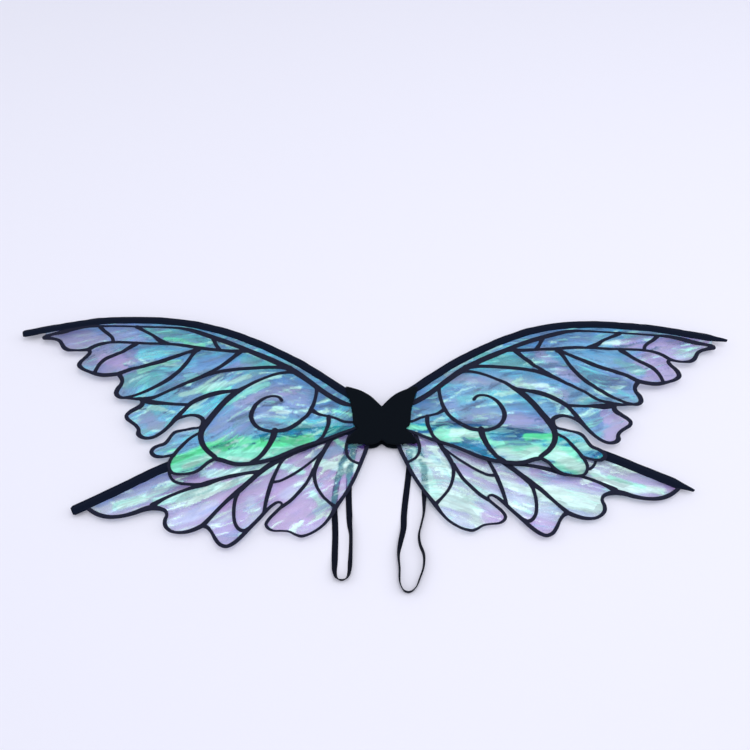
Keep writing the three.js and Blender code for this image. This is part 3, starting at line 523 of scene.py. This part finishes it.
BRUSHED["upper", "right"] = [
    ("lilac", 0.8, 36, 360, 110, 330, 90, 300, 60), ("lavender", 0.95, 38, 425, 108, 384, 96, 346, 82),
    ("lavender", 0.9, 9, 300, 110, 350, 110, 420, 108), ("ice", 0.6, 5, 372, 92, 400, 98),
    ("dusk", 0.5, 4, 350, 100, 400, 104), ("blue", 0.85, 9, 204, 116, 236, 120, 262, 116),
    ("pale", 0.8, 4, 272, 111, 300, 114), ("milk", 0.6, 4, 150, 110, 110, 88, 80, 66),
    ("sky", 0.9, 9, 232, 98, 290, 96), ("sea", 0.7, 8, 296, 84, 322, 70), ("cyan", 0.9, 7, 250, 72, 276, 54),
    ("deep", 0.75, 8, 264, 60, 302, 48), ("cyan", 0.85, 5, 292, 38, 306, 32),
    ("milk", 0.9, 3.5, 262, 42, 284, 30, 298, 24), ("sea", 0.8, 9, 118, 96, 146, 86, 190, 80),
    ("lavender", 0.6, 12, 90, 62, 140, 58, 220, 36), ("sky", 0.7, 9, 120, 68, 170, 64, 210, 58),
    ("lavender", 0.7, 8, 200, 96, 220, 78, 240, 60), ("pale", 0.8, 4, 166, 50, 204, 50),
    ("milk", 0.85, 3.5, 146, 36, 178, 43), ("blue", 0.75, 12, 160, 22, 186, 12),
    ("blue", 0.6, 6, 80, 42, 120, 50), ("lilac", 0.8, 14, 84, 18, 120, 12, 150, 4, 196, -2),
    ("lavender", 0.5, 6, 150, 2, 198, 0), ("milk", 0.7, 8, 204, 36, 222, 16),
    ("lavender", 0.9, 12, 264, 10, 290, -6, 272, -18), ("blue", 0.9, 6, 254, 18, 260, -8),
    ("deep", 0.8, 5, 60, -3, 110, -6, 160, -13, 190, -14),
    ("mint", 0.95, 11, 70, -14, 104, -22, 150, -36, 186, -38), ("pale", 0.75, 6, 84, -14, 112, -20),
    ("green", 0.9, 6, 172, -22, 206, -20), ("pale", 0.7, 8, 128, -38, 160, -48, 182, -40),
    ("blue", 0.9, 5, 98, -26, 116, -30), ("mint", 1.0, 16, 200, -38, 222, -58),
    ("pale", 0.8, 9, 204, -46, 228, -60), ("milk", 0.8, 5, 230, -32, 258, -36),
    ("blue", 0.7, 8, 44, 24, 70, 28), ("mint", 0.9, 3, 32, -8, 52, -10),
]
BRUSHED["lower", "left"] = [
    ("ice", 0.9, 9, 330, -112, 296, -104, 262, -92), ("lilac", 0.7, 8, 318, -104, 280, -84, 250, -72),
    ("milk", 0.85, 4, 302, -108, 272, -98, 250, -88, 234, -78),
    ("pale", 0.8, 3, 296, -108, 270, -99, 246, -86), ("plum", 0.55, 5, 262, -94, 224, -82),
    ("milk", 0.9, 6, 254, -104, 222, -93, 188, -84, 150, -74, 132, -64),
    ("milk", 0.8, 7, 206, -67, 170, -67, 138, -60), ("plum", 0.55, 5, 236, -72, 212, -70),
    ("ice", 0.7, 8, 240, -128, 210, -116, 190, -108), ("ice", 0.8, 4, 196, -138, 172, -120),
    ("pale", 0.45, 2, 196, -128, 176, -116), ("milk", 0.8, 5, 126, -58, 104, -60, 92, -66),
    ("plum", 0.7, 6, 112, -44, 78, -34, 58, -26), ("sky", 0.7, 8, 76, -44, 50, -38, 40, -30),
    ("pale", 0.85, 7, 76, -52, 52, -59, 30, -58), ("mint", 0.8, 3, 54, -24, 44, -32),
    ("reef", 0.85, 4, 34, -34, 38, -70, 38, -100), ("reef", 0.85, 4, 44, -46, 53, -84, 55, -108),
    ("rose", 0.8, 16, 104, -122, 76, -118), ("milk", 0.85, 5, 78, -94, 62, -108, 74, -116),
    ("ice", 0.6, 9, 112, -96, 92, -80, 80, -70), ("ice", 0.6, 9, 150, -100, 138, -120, 150, -132),
]
BRUSHED["lower", "right"] = [
    ("ice", 0.9, 70, 60, -80, 240, -90), ("pale", 0.75, 14, 64, -96, 100, -108, 112, -116),
    ("rose", 0.85, 12, 118, -118, 136, -122), ("rose", 0.85, 16, 168, -128, 186, -134),
    ("milk", 0.7, 6, 60, -48, 76, -64, 100, -84, 136, -104),
    ("lavender", 0.8, 5, 84, -60, 124, -80, 160, -92),
    ("pale", 0.7, 5, 108, -66, 150, -84, 196, -100, 230, -112), ("lavender", 0.7, 5, 134, -62, 160, -76),
    ("lavender", 0.9, 9, 178, -66, 214, -74, 244, -82), ("pale", 0.8, 9, 176, -86, 214, -98, 244, -104),
    ("milk", 0.6, 4, 150, -104, 166, -116), ("pale", 0.8, 7, 240, -64, 282, -84, 318, -92),
    ("lavender", 0.7, 3, 256, -66, 300, -78, 330, -84), ("mint", 0.7, 2.5, 262, -72, 300, -84),
    ("plum", 0.7, 4, 84, -38, 120, -54), ("plum", 0.6, 4, 196, -58, 240, -60),
    ("milk", 0.8, 6, 36, -40, 50, -62, 62, -92), ("reef", 0.7, 4, 33, -40, 33, -62),
    ("reef", 0.7, 4, 44, -34, 49, -60, 49, -86), ("pale", 0.8, 4, 60, -34, 76, -56),
]


def distance_to_path(points, path):
    """The distance of each point to a line of straight pieces."""
    path = np.reshape(path, (-1, 2)).astype(float)
    best = np.full(len(points), np.inf)
    for start, run in zip(path, np.diff(path, axis=0)):
        share = np.clip((points - start) @ run / (run @ run), 0, 1)
        best = np.minimum(best, np.linalg.norm(points - start - share[:, None] * run, axis=1))
    return best


def film_colours(surface, points):
    """The film's colour, its cover, and its flow: the space that streaks and crinkles are laid in."""
    points = np.asarray(points, float)[:, :2]
    _, slope = surface.relief(points)
    seed, wing = surface.seed, surface.wing
    grain = wing["grain"][surface.side]
    c, s = math.cos(grain), math.sin(grain)
    aside = wing["streak_bend"] * rough(points, seed + 50, 75, octaves=1)
    bent = points + aside[:, None] * [-s, c]
    hair = rough(bent, seed + 10, 2.2, grain, 9, 2)
    fine = rough(bent, seed + 20, 4.5, grain, 8)
    coarse = rough(bent, seed + 30, 14, grain, 4)
    broad = rough(bent, seed + 40, 60, grain, 1.6, 2)

    colour, hiding = LOOKS[wing["rest"]]
    look = np.tile(colour, (len(points), 1))
    cover = np.full(len(points), hiding)

    def lay(name, strength, weight):
        """Lays a look over what is there, and returns how much of it shows at each point."""
        nonlocal look, cover
        colour, hiding = LOOKS[name]
        shown = np.clip(strength * weight, 0, 1)
        look = look + (np.array(colour) - look) * shown[:, None]
        cover = cover + (hiding - cover) * shown
        return shown

    lay(wing["waves"], 1, 1.2 * broad + 0.5 * coarse)
    lay(*wing["hollows"], 1.4 * coarse - 0.6 * broad + 0.5 * fine)
    lay(*wing["ridges"], 1.6 * fine - 0.9 * coarse - 0.25)
    flat = points * [surface.sign, 1]
    bright = np.zeros(len(points))
    for name, strength, width, *path in BRUSHED[wing["name"], surface.side]:
        inside = (width - distance_to_path(flat, path)) / width + 0.45 * coarse + 0.4 * fine
        shown = lay(name, strength, np.clip(inside * 2.8, 0, 1))
        bright += ((name in ("green", "mint", "pale")) - bright) * shown
    # Painted highlight where the creases slope towards the light, broken by fine streaks; painted shade
    # where they slope away, weaker under the green, mint and pale patches.
    painted_highlight = slope * 2.6 + wing["hair"] * hair + 0.5 * fine
    lay(*wing["painted_highlight"], painted_highlight - 0.42)
    lay(*wing["painted_shade"], (-painted_highlight - 0.3) * (1 - 0.9 * bright))

    cover = np.clip(cover, 0.2, 0.9)[:, None]
    colour = np.clip((look - (1 - cover) ** 2 * GROUND) / (cover * GROUND_LIGHT), 0.012, 1)
    flow = np.column_stack([bent @ [c, s] / 9, bent @ [-s, c], np.full(len(points), seed)])
    return colour, 1 - np.sqrt(1 - cover[:, 0]), flow


# ---- mesh builders ----


def make_object(name, points, faces):
    mesh = bpy.data.meshes.new(name)
    mesh.from_pydata([tuple(p) for p in np.asarray(points, float) * MM], [], [tuple(f) for f in faces])
    mesh.validate()
    mesh.update()
    mesh.polygons.foreach_set("use_smooth", [True] * len(mesh.polygons))
    obj = bpy.data.objects.new(name, mesh)
    bpy.context.scene.collection.objects.link(obj)
    return obj


def side_faces(rings):
    """The faces between rings that are seen clockwise from the start."""
    count = len(rings[0])
    faces = []
    for r in range(len(rings) - 1):
        for k in range(count):
            n = (k + 1) % count
            faces.append(((r + 1) * count + k, (r + 1) * count + n, r * count + n, r * count + k))
    return faces


def sweep(name, line, section_at):
    """A closed tube of rings. section_at(i) gives ring i's points in three dimensions."""
    rings = [np.asarray(section_at(i), float) for i in range(len(line))]
    count, total = len(rings[0]), sum(map(len, rings))
    caps = [tuple(range(count)), tuple(reversed(range(total - count, total)))]
    return make_object(name, np.concatenate(rings), side_faces(rings) + caps)


def signed_area(polygon):
    """The area inside an outline, below zero if it runs clockwise."""
    p = np.asarray([q[:2] for q in polygon])
    after = np.roll(p, -1, 0)
    return (p[:, 0] * after[:, 1] - after[:, 0] * p[:, 1]).sum() / 2


def flat_mesh(polygons, extra=()):
    """Points and triangles of the union of closed outlines, with extra points inside it."""
    points, faces = [], []
    for polygon in polygons:
        if signed_area(polygon) < 0:
            polygon = polygon[::-1]
        start = len(points)
        points += [Vector(p[:2]) for p in polygon]
        faces.append(list(range(start, len(points))))
    points += [Vector(p[:2]) for p in extra]
    got, _, found, _, _, sources = geometry.delaunay_2d_cdt(points, [], faces, 1, 1e-4)
    flat = np.array([tuple(p) for p in got])
    triangles = np.array([f for f, outlines in zip(found, sources) if outlines])
    used = np.unique(triangles)
    index = np.full(len(flat), -1)
    index[used] = np.arange(len(used))
    flat, triangles = flat[used], index[triangles]
    a, b, c = (flat[triangles[:, k]] for k in range(3))
    area = (b[:, 0] - a[:, 0]) * (c[:, 1] - a[:, 1]) - (b[:, 1] - a[:, 1]) * (c[:, 0] - a[:, 0])
    triangles[area < 0] = triangles[area < 0][:, ::-1]
    return flat, triangles


def thick_mesh(name, flat, triangles, low, high):
    """A closed solid between two heights over the same flat triangles."""
    n = len(flat)
    points = np.concatenate([np.column_stack([flat, low]), np.column_stack([flat, high])])
    edges = dict.fromkeys(e for a, b, c in triangles for e in ((a, b), (b, c), (c, a)))
    rim = [e for e in edges if (e[1], e[0]) not in edges]
    faces = [tuple(t[::-1]) for t in triangles] + [tuple(t + n) for t in triangles]
    faces += [(a, b, b + n, a + n) for a, b in rim]
    return make_object(name, points, faces)


def grid_inside(outline, spacing, margin, seed):
    """Jittered grid points inside an outline, kept a margin from it."""
    outline = np.asarray(outline)[:, :2]
    lo, hi = outline.min(0), outline.max(0)
    random = np.random.default_rng(seed)
    row_gap = 0.87 * spacing
    gx, gy = np.meshgrid(np.arange(lo[0], hi[0], spacing), np.arange(lo[1], hi[1], row_gap))
    gx[1::2] += spacing / 2
    jitter = random.uniform(-0.18, 0.18, (gx.size, 2)) * spacing
    points = np.stack([gx.ravel(), gy.ravel()], 1) + jitter
    inside = np.zeros(len(points), bool)
    after = np.roll(outline, -1, 0)
    for (x0, y0), (x1, y1) in zip(outline, after):
        if y0 == y1:
            continue
        hit = (points[:, 1] > min(y0, y1)) & (points[:, 1] <= max(y0, y1))
        inside ^= hit & (points[:, 0] < x0 + (points[:, 1] - y0) * (x1 - x0) / (y1 - y0))
    points = points[inside]
    return points[distance_to_line(points, outline) > margin]


def ribbon_outline(line):
    """The outline of a ribbon as wide as the line's third values, with round ends."""
    side = cross_lines(line)
    half = line[:, 2:3] / 2
    right, left = line[:, :2] + side * half, line[:, :2] - side * half
    turn = headings(line)

    def cap(at, angle):
        return [
            line[at, :2] + half[at] * [math.cos(angle + t), math.sin(angle + t)]
            for t in np.linspace(-math.pi / 2, math.pi / 2, 7)[1:-1]
        ]

    return [*right, *cap(-1, turn[-1]), *left[::-1], *cap(0, turn[0] + math.pi)]


# ---- materials ----


def plug(node, inputs):
    """Gives inputs of a node their values, or links them to other nodes' outputs."""
    for key, value in inputs.items():
        if isinstance(value, bpy.types.NodeSocket):
            node.id_data.links.new(value, node.inputs[key])
        else:
            node.inputs[key].default_value = value


def material(name, colour, roughness, specular=0.5):
    """A new material, its node tree and its shader."""
    m = bpy.data.materials.new(name)
    m.use_nodes = True
    shader = m.node_tree.nodes["Principled BSDF"]
    plug(shader, {"Base Color": (*colour, 1), "Roughness": roughness, "Specular IOR Level": specular})
    return m, m.node_tree, shader


def add_node(tree, kind, inputs, **settings):
    """A new node. Its settings come first, because its inputs depend on them."""
    node = tree.nodes.new(kind)
    for key, value in settings.items():
        setattr(node, key, value)
    plug(node, inputs)
    return node


def bump(tree, shader, height, strength, distance):
    node = add_node(tree, "ShaderNodeBump", {"Height": height, "Strength": strength, "Distance": distance})
    plug(shader, {"Normal": node.outputs["Normal"]})


def noise_texture(tree, space, scale, detail, roughness=0.5):
    inputs = {"Vector": space, "Scale": scale, "Detail": detail, "Roughness": roughness}
    return add_node(tree, "ShaderNodeTexNoise", inputs)


def object_space(tree):
    return tree.nodes.new("ShaderNodeTexCoord").outputs["Object"]


def mix_colours(tree, share, a, b):
    """Colour a where the share is 0 and colour b where it is 1."""
    inputs = {"Factor": share, "A": a, "B": b}
    return add_node(tree, "ShaderNodeMix", inputs, data_type="RGBA").outputs["Result"]


def fabric(name, colour, roughness, sheen, scale, strength):
    """Matte cloth with a fine uneven nap."""
    m, tree, shader = material(name, colour, roughness, 0.12)
    nap = noise_texture(tree, object_space(tree), scale, 6.0, 0.65).outputs["Fac"]
    bump(tree, shader, nap, strength, 0.0004)
    mixed = mix_colours(tree, nap, (*[c * 0.7 for c in colour], 1), (*[c * 1.5 for c in colour], 1))
    plug(shader, {"Base Color": mixed, "Sheen Weight": sheen, "Sheen Roughness": 0.5})
    plug(shader, {"Sheen Tint": (0.5, 0.52, 0.6, 1)})
    return m


FELT_LOOK = fabric("felt", (0.0012, 0.0030, 0.0060), 1.0, 0.008, 2600, 0.7)
SLEEVE_LOOK = fabric("sleeve_fabric", (0.0018, 0.0050, 0.0170), 0.85, 0.02, 3400, 0.45)
THREAD_LOOK = fabric("thread", (0.010, 0.010, 0.016), 0.8, 0.08, 5000, 0.4)
ELASTIC_LOOK = fabric("elastic", (0.0020, 0.0036, 0.0110), 0.85, 0.02, 4200, 0.5)
STEEL_LOOK, _, steel_shader = material("steel_wire", (0.5, 0.51, 0.53), 0.35)
plug(steel_shader, {"Metallic": 1})


def veins_material():
    m, tree, shader = material("vein_print", (0.014, 0.013, 0.026), 0.7, 0.15)
    grain = noise_texture(tree, object_space(tree), 220.0, 3.0).outputs["Fac"]
    ramp = add_node(tree, "ShaderNodeValToRGB", {"Fac": grain})
    ramp.color_ramp.elements[0].color = (0.004, 0.007, 0.020, 1)
    ramp.color_ramp.elements[1].color = (0.012, 0.013, 0.036, 1)
    plug(shader, {"Base Color": ramp.outputs["Color"]})
    bump(tree, shader, grain, 0.2, 0.0005)
    return m


def spread(tree, value, low, high, to_low, to_high):
    """A value from low to high, spread over another range."""
    inputs = {"Value": value, "From Min": low, "From Max": high, "To Min": to_low, "To Max": to_high}
    return add_node(tree, "ShaderNodeMapRange", inputs).outputs["Result"]


def calculate(tree, operation, a, b):
    """A value joined with a value or a number."""
    return add_node(tree, "ShaderNodeMath", {0: a, 1: b}, operation=operation).outputs["Value"]


def vector_math(tree, operation, inputs):
    return add_node(tree, "ShaderNodeVectorMath", inputs, operation=operation).outputs["Vector"]


def facets(tree, flow, size, bend):
    """Two random shares for each straight-sided crinkle of the film: one for its painted shading, one for
    its painted glint.
    """
    shift = noise_texture(tree, flow, 0.16, 2.0).outputs["Color"]
    moved = vector_math(tree, "MULTIPLY_ADD", {0: shift, 1: bend, 2: flow})
    squeezed = vector_math(tree, "MULTIPLY", {0: moved, 1: (2.6 / size, 1 / size, 1)})
    cells = add_node(tree, "ShaderNodeTexVoronoi", {"Vector": squeezed, "Scale": 1.0})
    split = add_node(tree, "ShaderNodeSeparateColor", {"Color": cells.outputs["Color"]})
    return split.outputs["Red"], split.outputs["Green"]


def film_material():
    """Clear film: the painted colour in streaks, a painted shading on each crinkle facet, and a few painted
    highlights (glints) that hide more.
    """
    m, tree, shader = material("iridescent_film", (0.4, 0.3, 0.65), 0.3, 0.6)
    colour, cover, flow = (
        add_node(tree, "ShaderNodeAttribute", {}, attribute_name=f"film_{name}").outputs[output]
        for name, output in (("colour", "Color"), ("cover", "Fac"), ("flow", "Vector"))
    )
    streak = noise_texture(tree, flow, 0.3, 4.0, 0.6).outputs["Fac"]
    # Each crinkle facet is painted lighter or darker at random, as if it caught the light at its own angle.
    facet_shading, glint = facets(tree, flow, 9.0, (0.6, 5.0, 0))
    small_facet_shading, small_glint = facets(tree, flow, 4.0, (0.4, 3.0, 0))
    gain = spread(tree, streak, 0.3, 0.7, 0.8, 1.18)
    gain = calculate(tree, "MULTIPLY", gain, spread(tree, facet_shading, 0, 1, 0.75, 1.2))
    gain = calculate(tree, "MULTIPLY", gain, spread(tree, small_facet_shading, 0, 1, 0.88, 1.12))
    scaled = vector_math(tree, "SCALE", {0: colour, "Scale": gain})
    # Painted highlights: a few facets along the streaks turn pale mint and hide more of what lies under the
    # film.
    share = spread(tree, glint, 0.88, 0.9, 0, 0.5)
    share = calculate(tree, "MAXIMUM", share, spread(tree, small_glint, 0.93, 0.95, 0, 0.6))
    share = calculate(tree, "MULTIPLY", share, spread(tree, streak, 0.42, 0.62, 0, 1))
    bright = mix_colours(tree, share, scaled, (*linear(166, 238, 222), 1))
    hidden = calculate(tree, "ADD", calculate(tree, "MULTIPLY", share, 0.45), cover)
    plug(shader, {"Base Color": bright, "Alpha": hidden, "Coat Weight": 0.5, "Coat Roughness": 0.06})
    plug(shader, {"Coat Tint": (0.85, 1, 0.94, 1)})
    bump(tree, shader, streak, 0.25, 0.0006)
    return m


VEIN_LOOK = veins_material()
FILM_LOOK = film_material()


def paint(obj, look):
    obj.data.materials.clear()
    obj.data.materials.append(look)


# ---- arm loops: flat bands that lie on the floor ----

SWEEP_STEP = 2.5

# The upper half of the band's section, as shares of its half width and half thickness, then the lower half.
BAND_RING = [
    (1, -0.45), (1, 0.45), (0.93, 0.85), (0.6, 1), (0.2, 0.88), (-0.2, 0.88), (-0.6, 1), (-0.93, 0.85),
    (-1, 0.45), (-1, -0.45), (-0.93, -0.85), (-0.6, -1), (0, -0.9), (0.6, -1), (0.93, -0.85),
]


def band_section(x, y, z, turn, roll):
    """The ring of a woven band with round edges, at a point, across the heading and rolled."""
    half, up = BAND_WIDTH / 2, BAND_THICKNESS / 2
    ring = []
    for a, b in BAND_RING:
        across, lift = a * half, b * up
        out = across * math.cos(roll) - lift * math.sin(roll)
        rise = across * math.sin(roll) + lift * math.cos(roll)
        ring.append((x + out * math.sin(turn), y - out * math.cos(turn), z + rise))
    return ring


def make_strap(side):
    line = smooth(STRAPS[side], SWEEP_STEP)
    turn = np.unwrap(headings(line))
    roll = np.radians(line[:, 2])
    lift = (BAND_WIDTH * np.abs(np.sin(roll)) + BAND_THICKNESS * np.cos(roll)) / 2
    height = FLOOR_Z + lift

    def section_at(i):
        return band_section(line[i, 0], line[i, 1], height[i], turn[i], roll[i])

    obj = sweep(f"strap_{side}", line, section_at)
    paint(obj, ELASTIC_LOOK)
    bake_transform(obj)
    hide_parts(f"strap_loop_{side}")


for side in SIDES:
    make_strap(side)

# ---- wings ----

SLEEVE_HALF, RIDGE, RIDGE_REACH = 0.55, 1.45, 3.1
half_steps = np.array([0.14, 0.28, 0.42, 0.6, 0.8, 0.94, 1]) / 2
SLEEVE_STEPS = np.array([*-half_steps[::-1], 0, *half_steps])     # places across, as shares of the width
SLEEVE_TIPS = {"left": (0.72, 9), "right": (0.12, 26)}   # share of the width at the tip, length of the taper
WOBBLE_STEP, WOBBLE_ASIDE, WOBBLE_WIDTH, WOBBLE_HEIGHT = 8, 0.25, 0.035, 0.06    # the last two are shares
FILM_HALF = 0.08
FILM_STEP = 1.9
VEIN_BOTTOM, VEIN_TOP = 0.02, 0.5    # over the film's upper face


def put_on_wing(obj, side, wing, node, look):
    """Paints a wing's piece and says which CAD piece it replaces, by hiding that piece."""
    paint(obj, look)
    point, out = fold_line(side, wing)
    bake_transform(obj)
    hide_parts(f"{wing['name']}_{node}_{side}")


def sleeve_half(u, width):
    """Half the thickness across a sleeve: a ridge over the wire and two flat flanges."""
    return SLEEVE_HALF + RIDGE * math.exp(-((u * width) / RIDGE_REACH) ** 2)


def make_sleeve(side, wing, seed):
    """Makes a sleeve and returns its middle line."""
    width = wing["sleeve_width"]
    line = leading_line(side, wing, SWEEP_STEP)
    first = line[0] - (line[4] - line[0]) * 1.3      # runs on in under the pad
    line = np.concatenate([smooth([first, line[0]], SWEEP_STEP)[:-1], line])
    turn = headings(line)
    across = cross_lines(line)
    random = np.random.default_rng(seed)
    length = np.concatenate([[0], np.cumsum(np.linalg.norm(np.diff(line[:, :2], axis=0), axis=1))])
    knots = np.arange(0, length[-1] + WOBBLE_STEP, WOBBLE_STEP)
    wider, thicker, aside = (np.interp(length, knots, random.uniform(-1, 1, len(knots))) for _ in range(3))
    tip_share, tip_run = SLEEVE_TIPS[side]

    def ring(i):
        taper = min(1, tip_share + (length[-1] - length[i]) / tip_run)
        w = width * (1 + WOBBLE_WIDTH * wider[i]) * taper
        points = []
        for sign in (1, -1):
            for u in SLEEVE_STEPS[::sign]:
                rim = 0.5 if abs(u) == SLEEVE_STEPS[-1] else 1
                half = sleeve_half(u, w) * (1 + WOBBLE_HEIGHT * thicker[i]) * rim
                x, y = line[i, :2] + across[i] * (u * w + WOBBLE_ASIDE * aside[i])
                points.append((x, y, wing["plane"] + sign * half))
        return points[::-1]

    obj = sweep(f"sleeve_{wing['name']}_{side}", line, ring)
    put_on_wing(obj, side, wing, "sleeve", SLEEVE_LOOK)
    return line


def make_wire(side, wing, line):
    inner = line[4:-4]
    turn = headings(inner)
    across = cross_lines(inner)
    radius = WIRE_DIAMETER / 2

    def ring(i):
        return [
            (*(inner[i, :2] + across[i] * radius * math.cos(a)), wing["plane"] + radius * math.sin(a))
            for a in np.linspace(0, 2 * math.pi, 9)[:-1]
        ]

    obj = sweep(f"wire_{wing['name']}_{side}", inner, ring)
    put_on_wing(obj, side, wing, "wire", STEEL_LOOK)


def make_film_and_veins(side, wing, seed):
    surface = Surface(side, wing, seed)
    edges = [placed(side, wing, smooth(line)) for line in wing["edge"]]
    veins = [placed(side, wing, smooth(line)) for line in wing["veins"]]
    spine = leading_line(side, wing)
    tip = edges[-1][-1]
    spine = spine[np.abs(spine[:, 0]) < abs(tip[0]) + 2]
    outline = np.concatenate([*[e[:-1, :2] for e in edges], tip[None, :2], spine[::-1, :2]])
    flat, triangles = flat_mesh([outline], grid_inside(outline, FILM_STEP, 1.0, seed))
    height = surface.height(flat)
    film = thick_mesh(f"film_{wing['name']}_{side}", flat, triangles, height - FILM_HALF, height + FILM_HALF)
    colour, cover, flow = film_colours(surface, flat)
    colour = np.column_stack([colour, np.ones(len(colour))])
    attribute = film.data.color_attributes.new("film_colour", "FLOAT_COLOR", "POINT")
    attribute.data.foreach_set("color", np.tile(colour, (2, 1)).ravel())
    attribute = film.data.attributes.new("film_cover", "FLOAT", "POINT")
    attribute.data.foreach_set("value", np.tile(cover, 2).astype(np.float32))
    attribute = film.data.attributes.new("film_flow", "FLOAT_VECTOR", "POINT")
    attribute.data.foreach_set("vector", np.tile(flow, (2, 1)).astype(np.float32).ravel())

    flat, triangles = flat_mesh([ribbon_outline(line) for line in [*edges, *veins]])
    height = surface.height(flat)
    lattice = thick_mesh(f"veins_{wing['name']}_{side}", flat, triangles,
                         height + FILM_HALF + VEIN_BOTTOM, height + FILM_HALF + VEIN_TOP)
    lattice.data.polygons.foreach_set("use_smooth", [False] * len(lattice.data.polygons))
    put_on_wing(film, side, wing, "film", FILM_LOOK)
    put_on_wing(lattice, side, wing, "veins", VEIN_LOOK)


for number, wing in enumerate((UPPER, LOWER)):
    for k, side in enumerate(SIDES):
        sleeve_seed = 31 + 10 * number + k
        film_seed = 400 + 100 * number + 10 * k
        make_wire(side, wing, make_sleeve(side, wing, sleeve_seed))
        make_film_and_veins(side, wing, film_seed)

# ---- pads ----

half = smooth(PAD_HALF, 1.0)[:, :2]
PAD_OUTLINE = np.concatenate([half, half[-2:0:-1] * [-1, 1]])     # clockwise


def weld(obj, distance):
    """Joins the points of an object that lie within a distance of each other."""
    modifier = obj.modifiers.new("weld", "WELD")
    modifier.merge_threshold = distance
    graph = bpy.context.evaluated_depsgraph_get()
    mesh = bpy.data.meshes.new_from_object(obj.evaluated_get(graph))
    obj.modifiers.clear()
    obj.data = mesh


def make_pad(name, node, low, seed):
    """A felt shape with soft rims."""
    inset, soft, rim = 0.6, 0.15, 0.45
    inwards = cross_lines(np.concatenate([PAD_OUTLINE[-1:], PAD_OUTLINE, PAD_OUTLINE[:1]]))[1:-1]
    random = np.random.default_rng(seed)
    fuzz = random.uniform(-0.12, 0.12, (len(PAD_OUTLINE), 2))
    rows = [(inset, 0), (soft, rim), (0, FELT / 2), (soft, FELT - rim), (inset, FELT)]
    rings = [
        np.column_stack([PAD_OUTLINE + inwards * into + fuzz, np.full(len(PAD_OUTLINE), low + z)])
        for into, z in rows
    ]
    cap = rings[0][:, :2]
    flat, triangles = flat_mesh([cap], grid_inside(cap, 3, 1.2, seed))
    nap = 0.05 * rough(flat, seed, 5) * (distance_to_line(flat, cap) > 0.01)
    bottom = np.column_stack([flat, np.full(len(flat), low)])
    top = np.column_stack([flat, low + FELT + nap])
    base = sum(map(len, rings))
    caps = [tuple(t[::-1] + base) for t in triangles] + [tuple(t + base + len(flat)) for t in triangles]
    obj = make_object(name, np.concatenate([*rings, bottom, top]), side_faces(rings) + caps)
    weld(obj, 0.00002)
    paint(obj, FELT_LOOK)
    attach(obj, "pad")
    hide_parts(node)


make_pad("pad_front", "front_pad", FRONT_PAD_BOTTOM, 71)
make_pad("pad_back", "back_pad", 0, 72)

# ---- CAD pieces that stay as they are ----

for name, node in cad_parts.items():
    if node.hide_render:
        continue
    if "tack" in name or "binding" in name:
        paint(node, THREAD_LOOK)
    elif "strap" in name:
        paint(node, ELASTIC_LOOK)
    else:
        paint(node, STEEL_LOOK)

# ---- floor and light ----

FLOOR_HALF = 6000

corners = [(x * FLOOR_HALF, y * FLOOR_HALF, FLOOR_Z) for x, y in ((-1, -1), (1, -1), (1, 1), (-1, 1))]
floor = make_object("floor", corners, [(0, 1, 2, 3)])
paint(floor, material("floor", (0.83, 0.83, 0.93), 0.6, 0.2)[0])

world = bpy.data.worlds.new("world")
bpy.context.scene.world = world
world.use_nodes = True
plug(world.node_tree.nodes["Background"], {"Color": (0.93, 0.94, 1, 1), "Strength": 0.65})


def softbox(name, place, size, power):
    """A soft light that faces the wings."""
    data = bpy.data.lights.new(name, "AREA")
    data.shape = "RECTANGLE"
    data.size, data.size_y = size
    data.energy = power
    obj = bpy.data.objects.new(name, data)
    bpy.context.scene.collection.objects.link(obj)
    obj.location = place
    obj.rotation_euler = (TARGET - Vector(place)).to_track_quat("-Z", "Y").to_euler()


softbox("light_above", (0.25, -0.1, 2.1), (2.0, 1.6), 19)
softbox("light_left", (-1.8, 0.4, 1.3), (1.0, 1.2), 5)
softbox("light_right", (1.8, 0.3, 1.2), (0.9, 1.2), 6)

bpy.context.scene.view_settings.view_transform = "Standard"
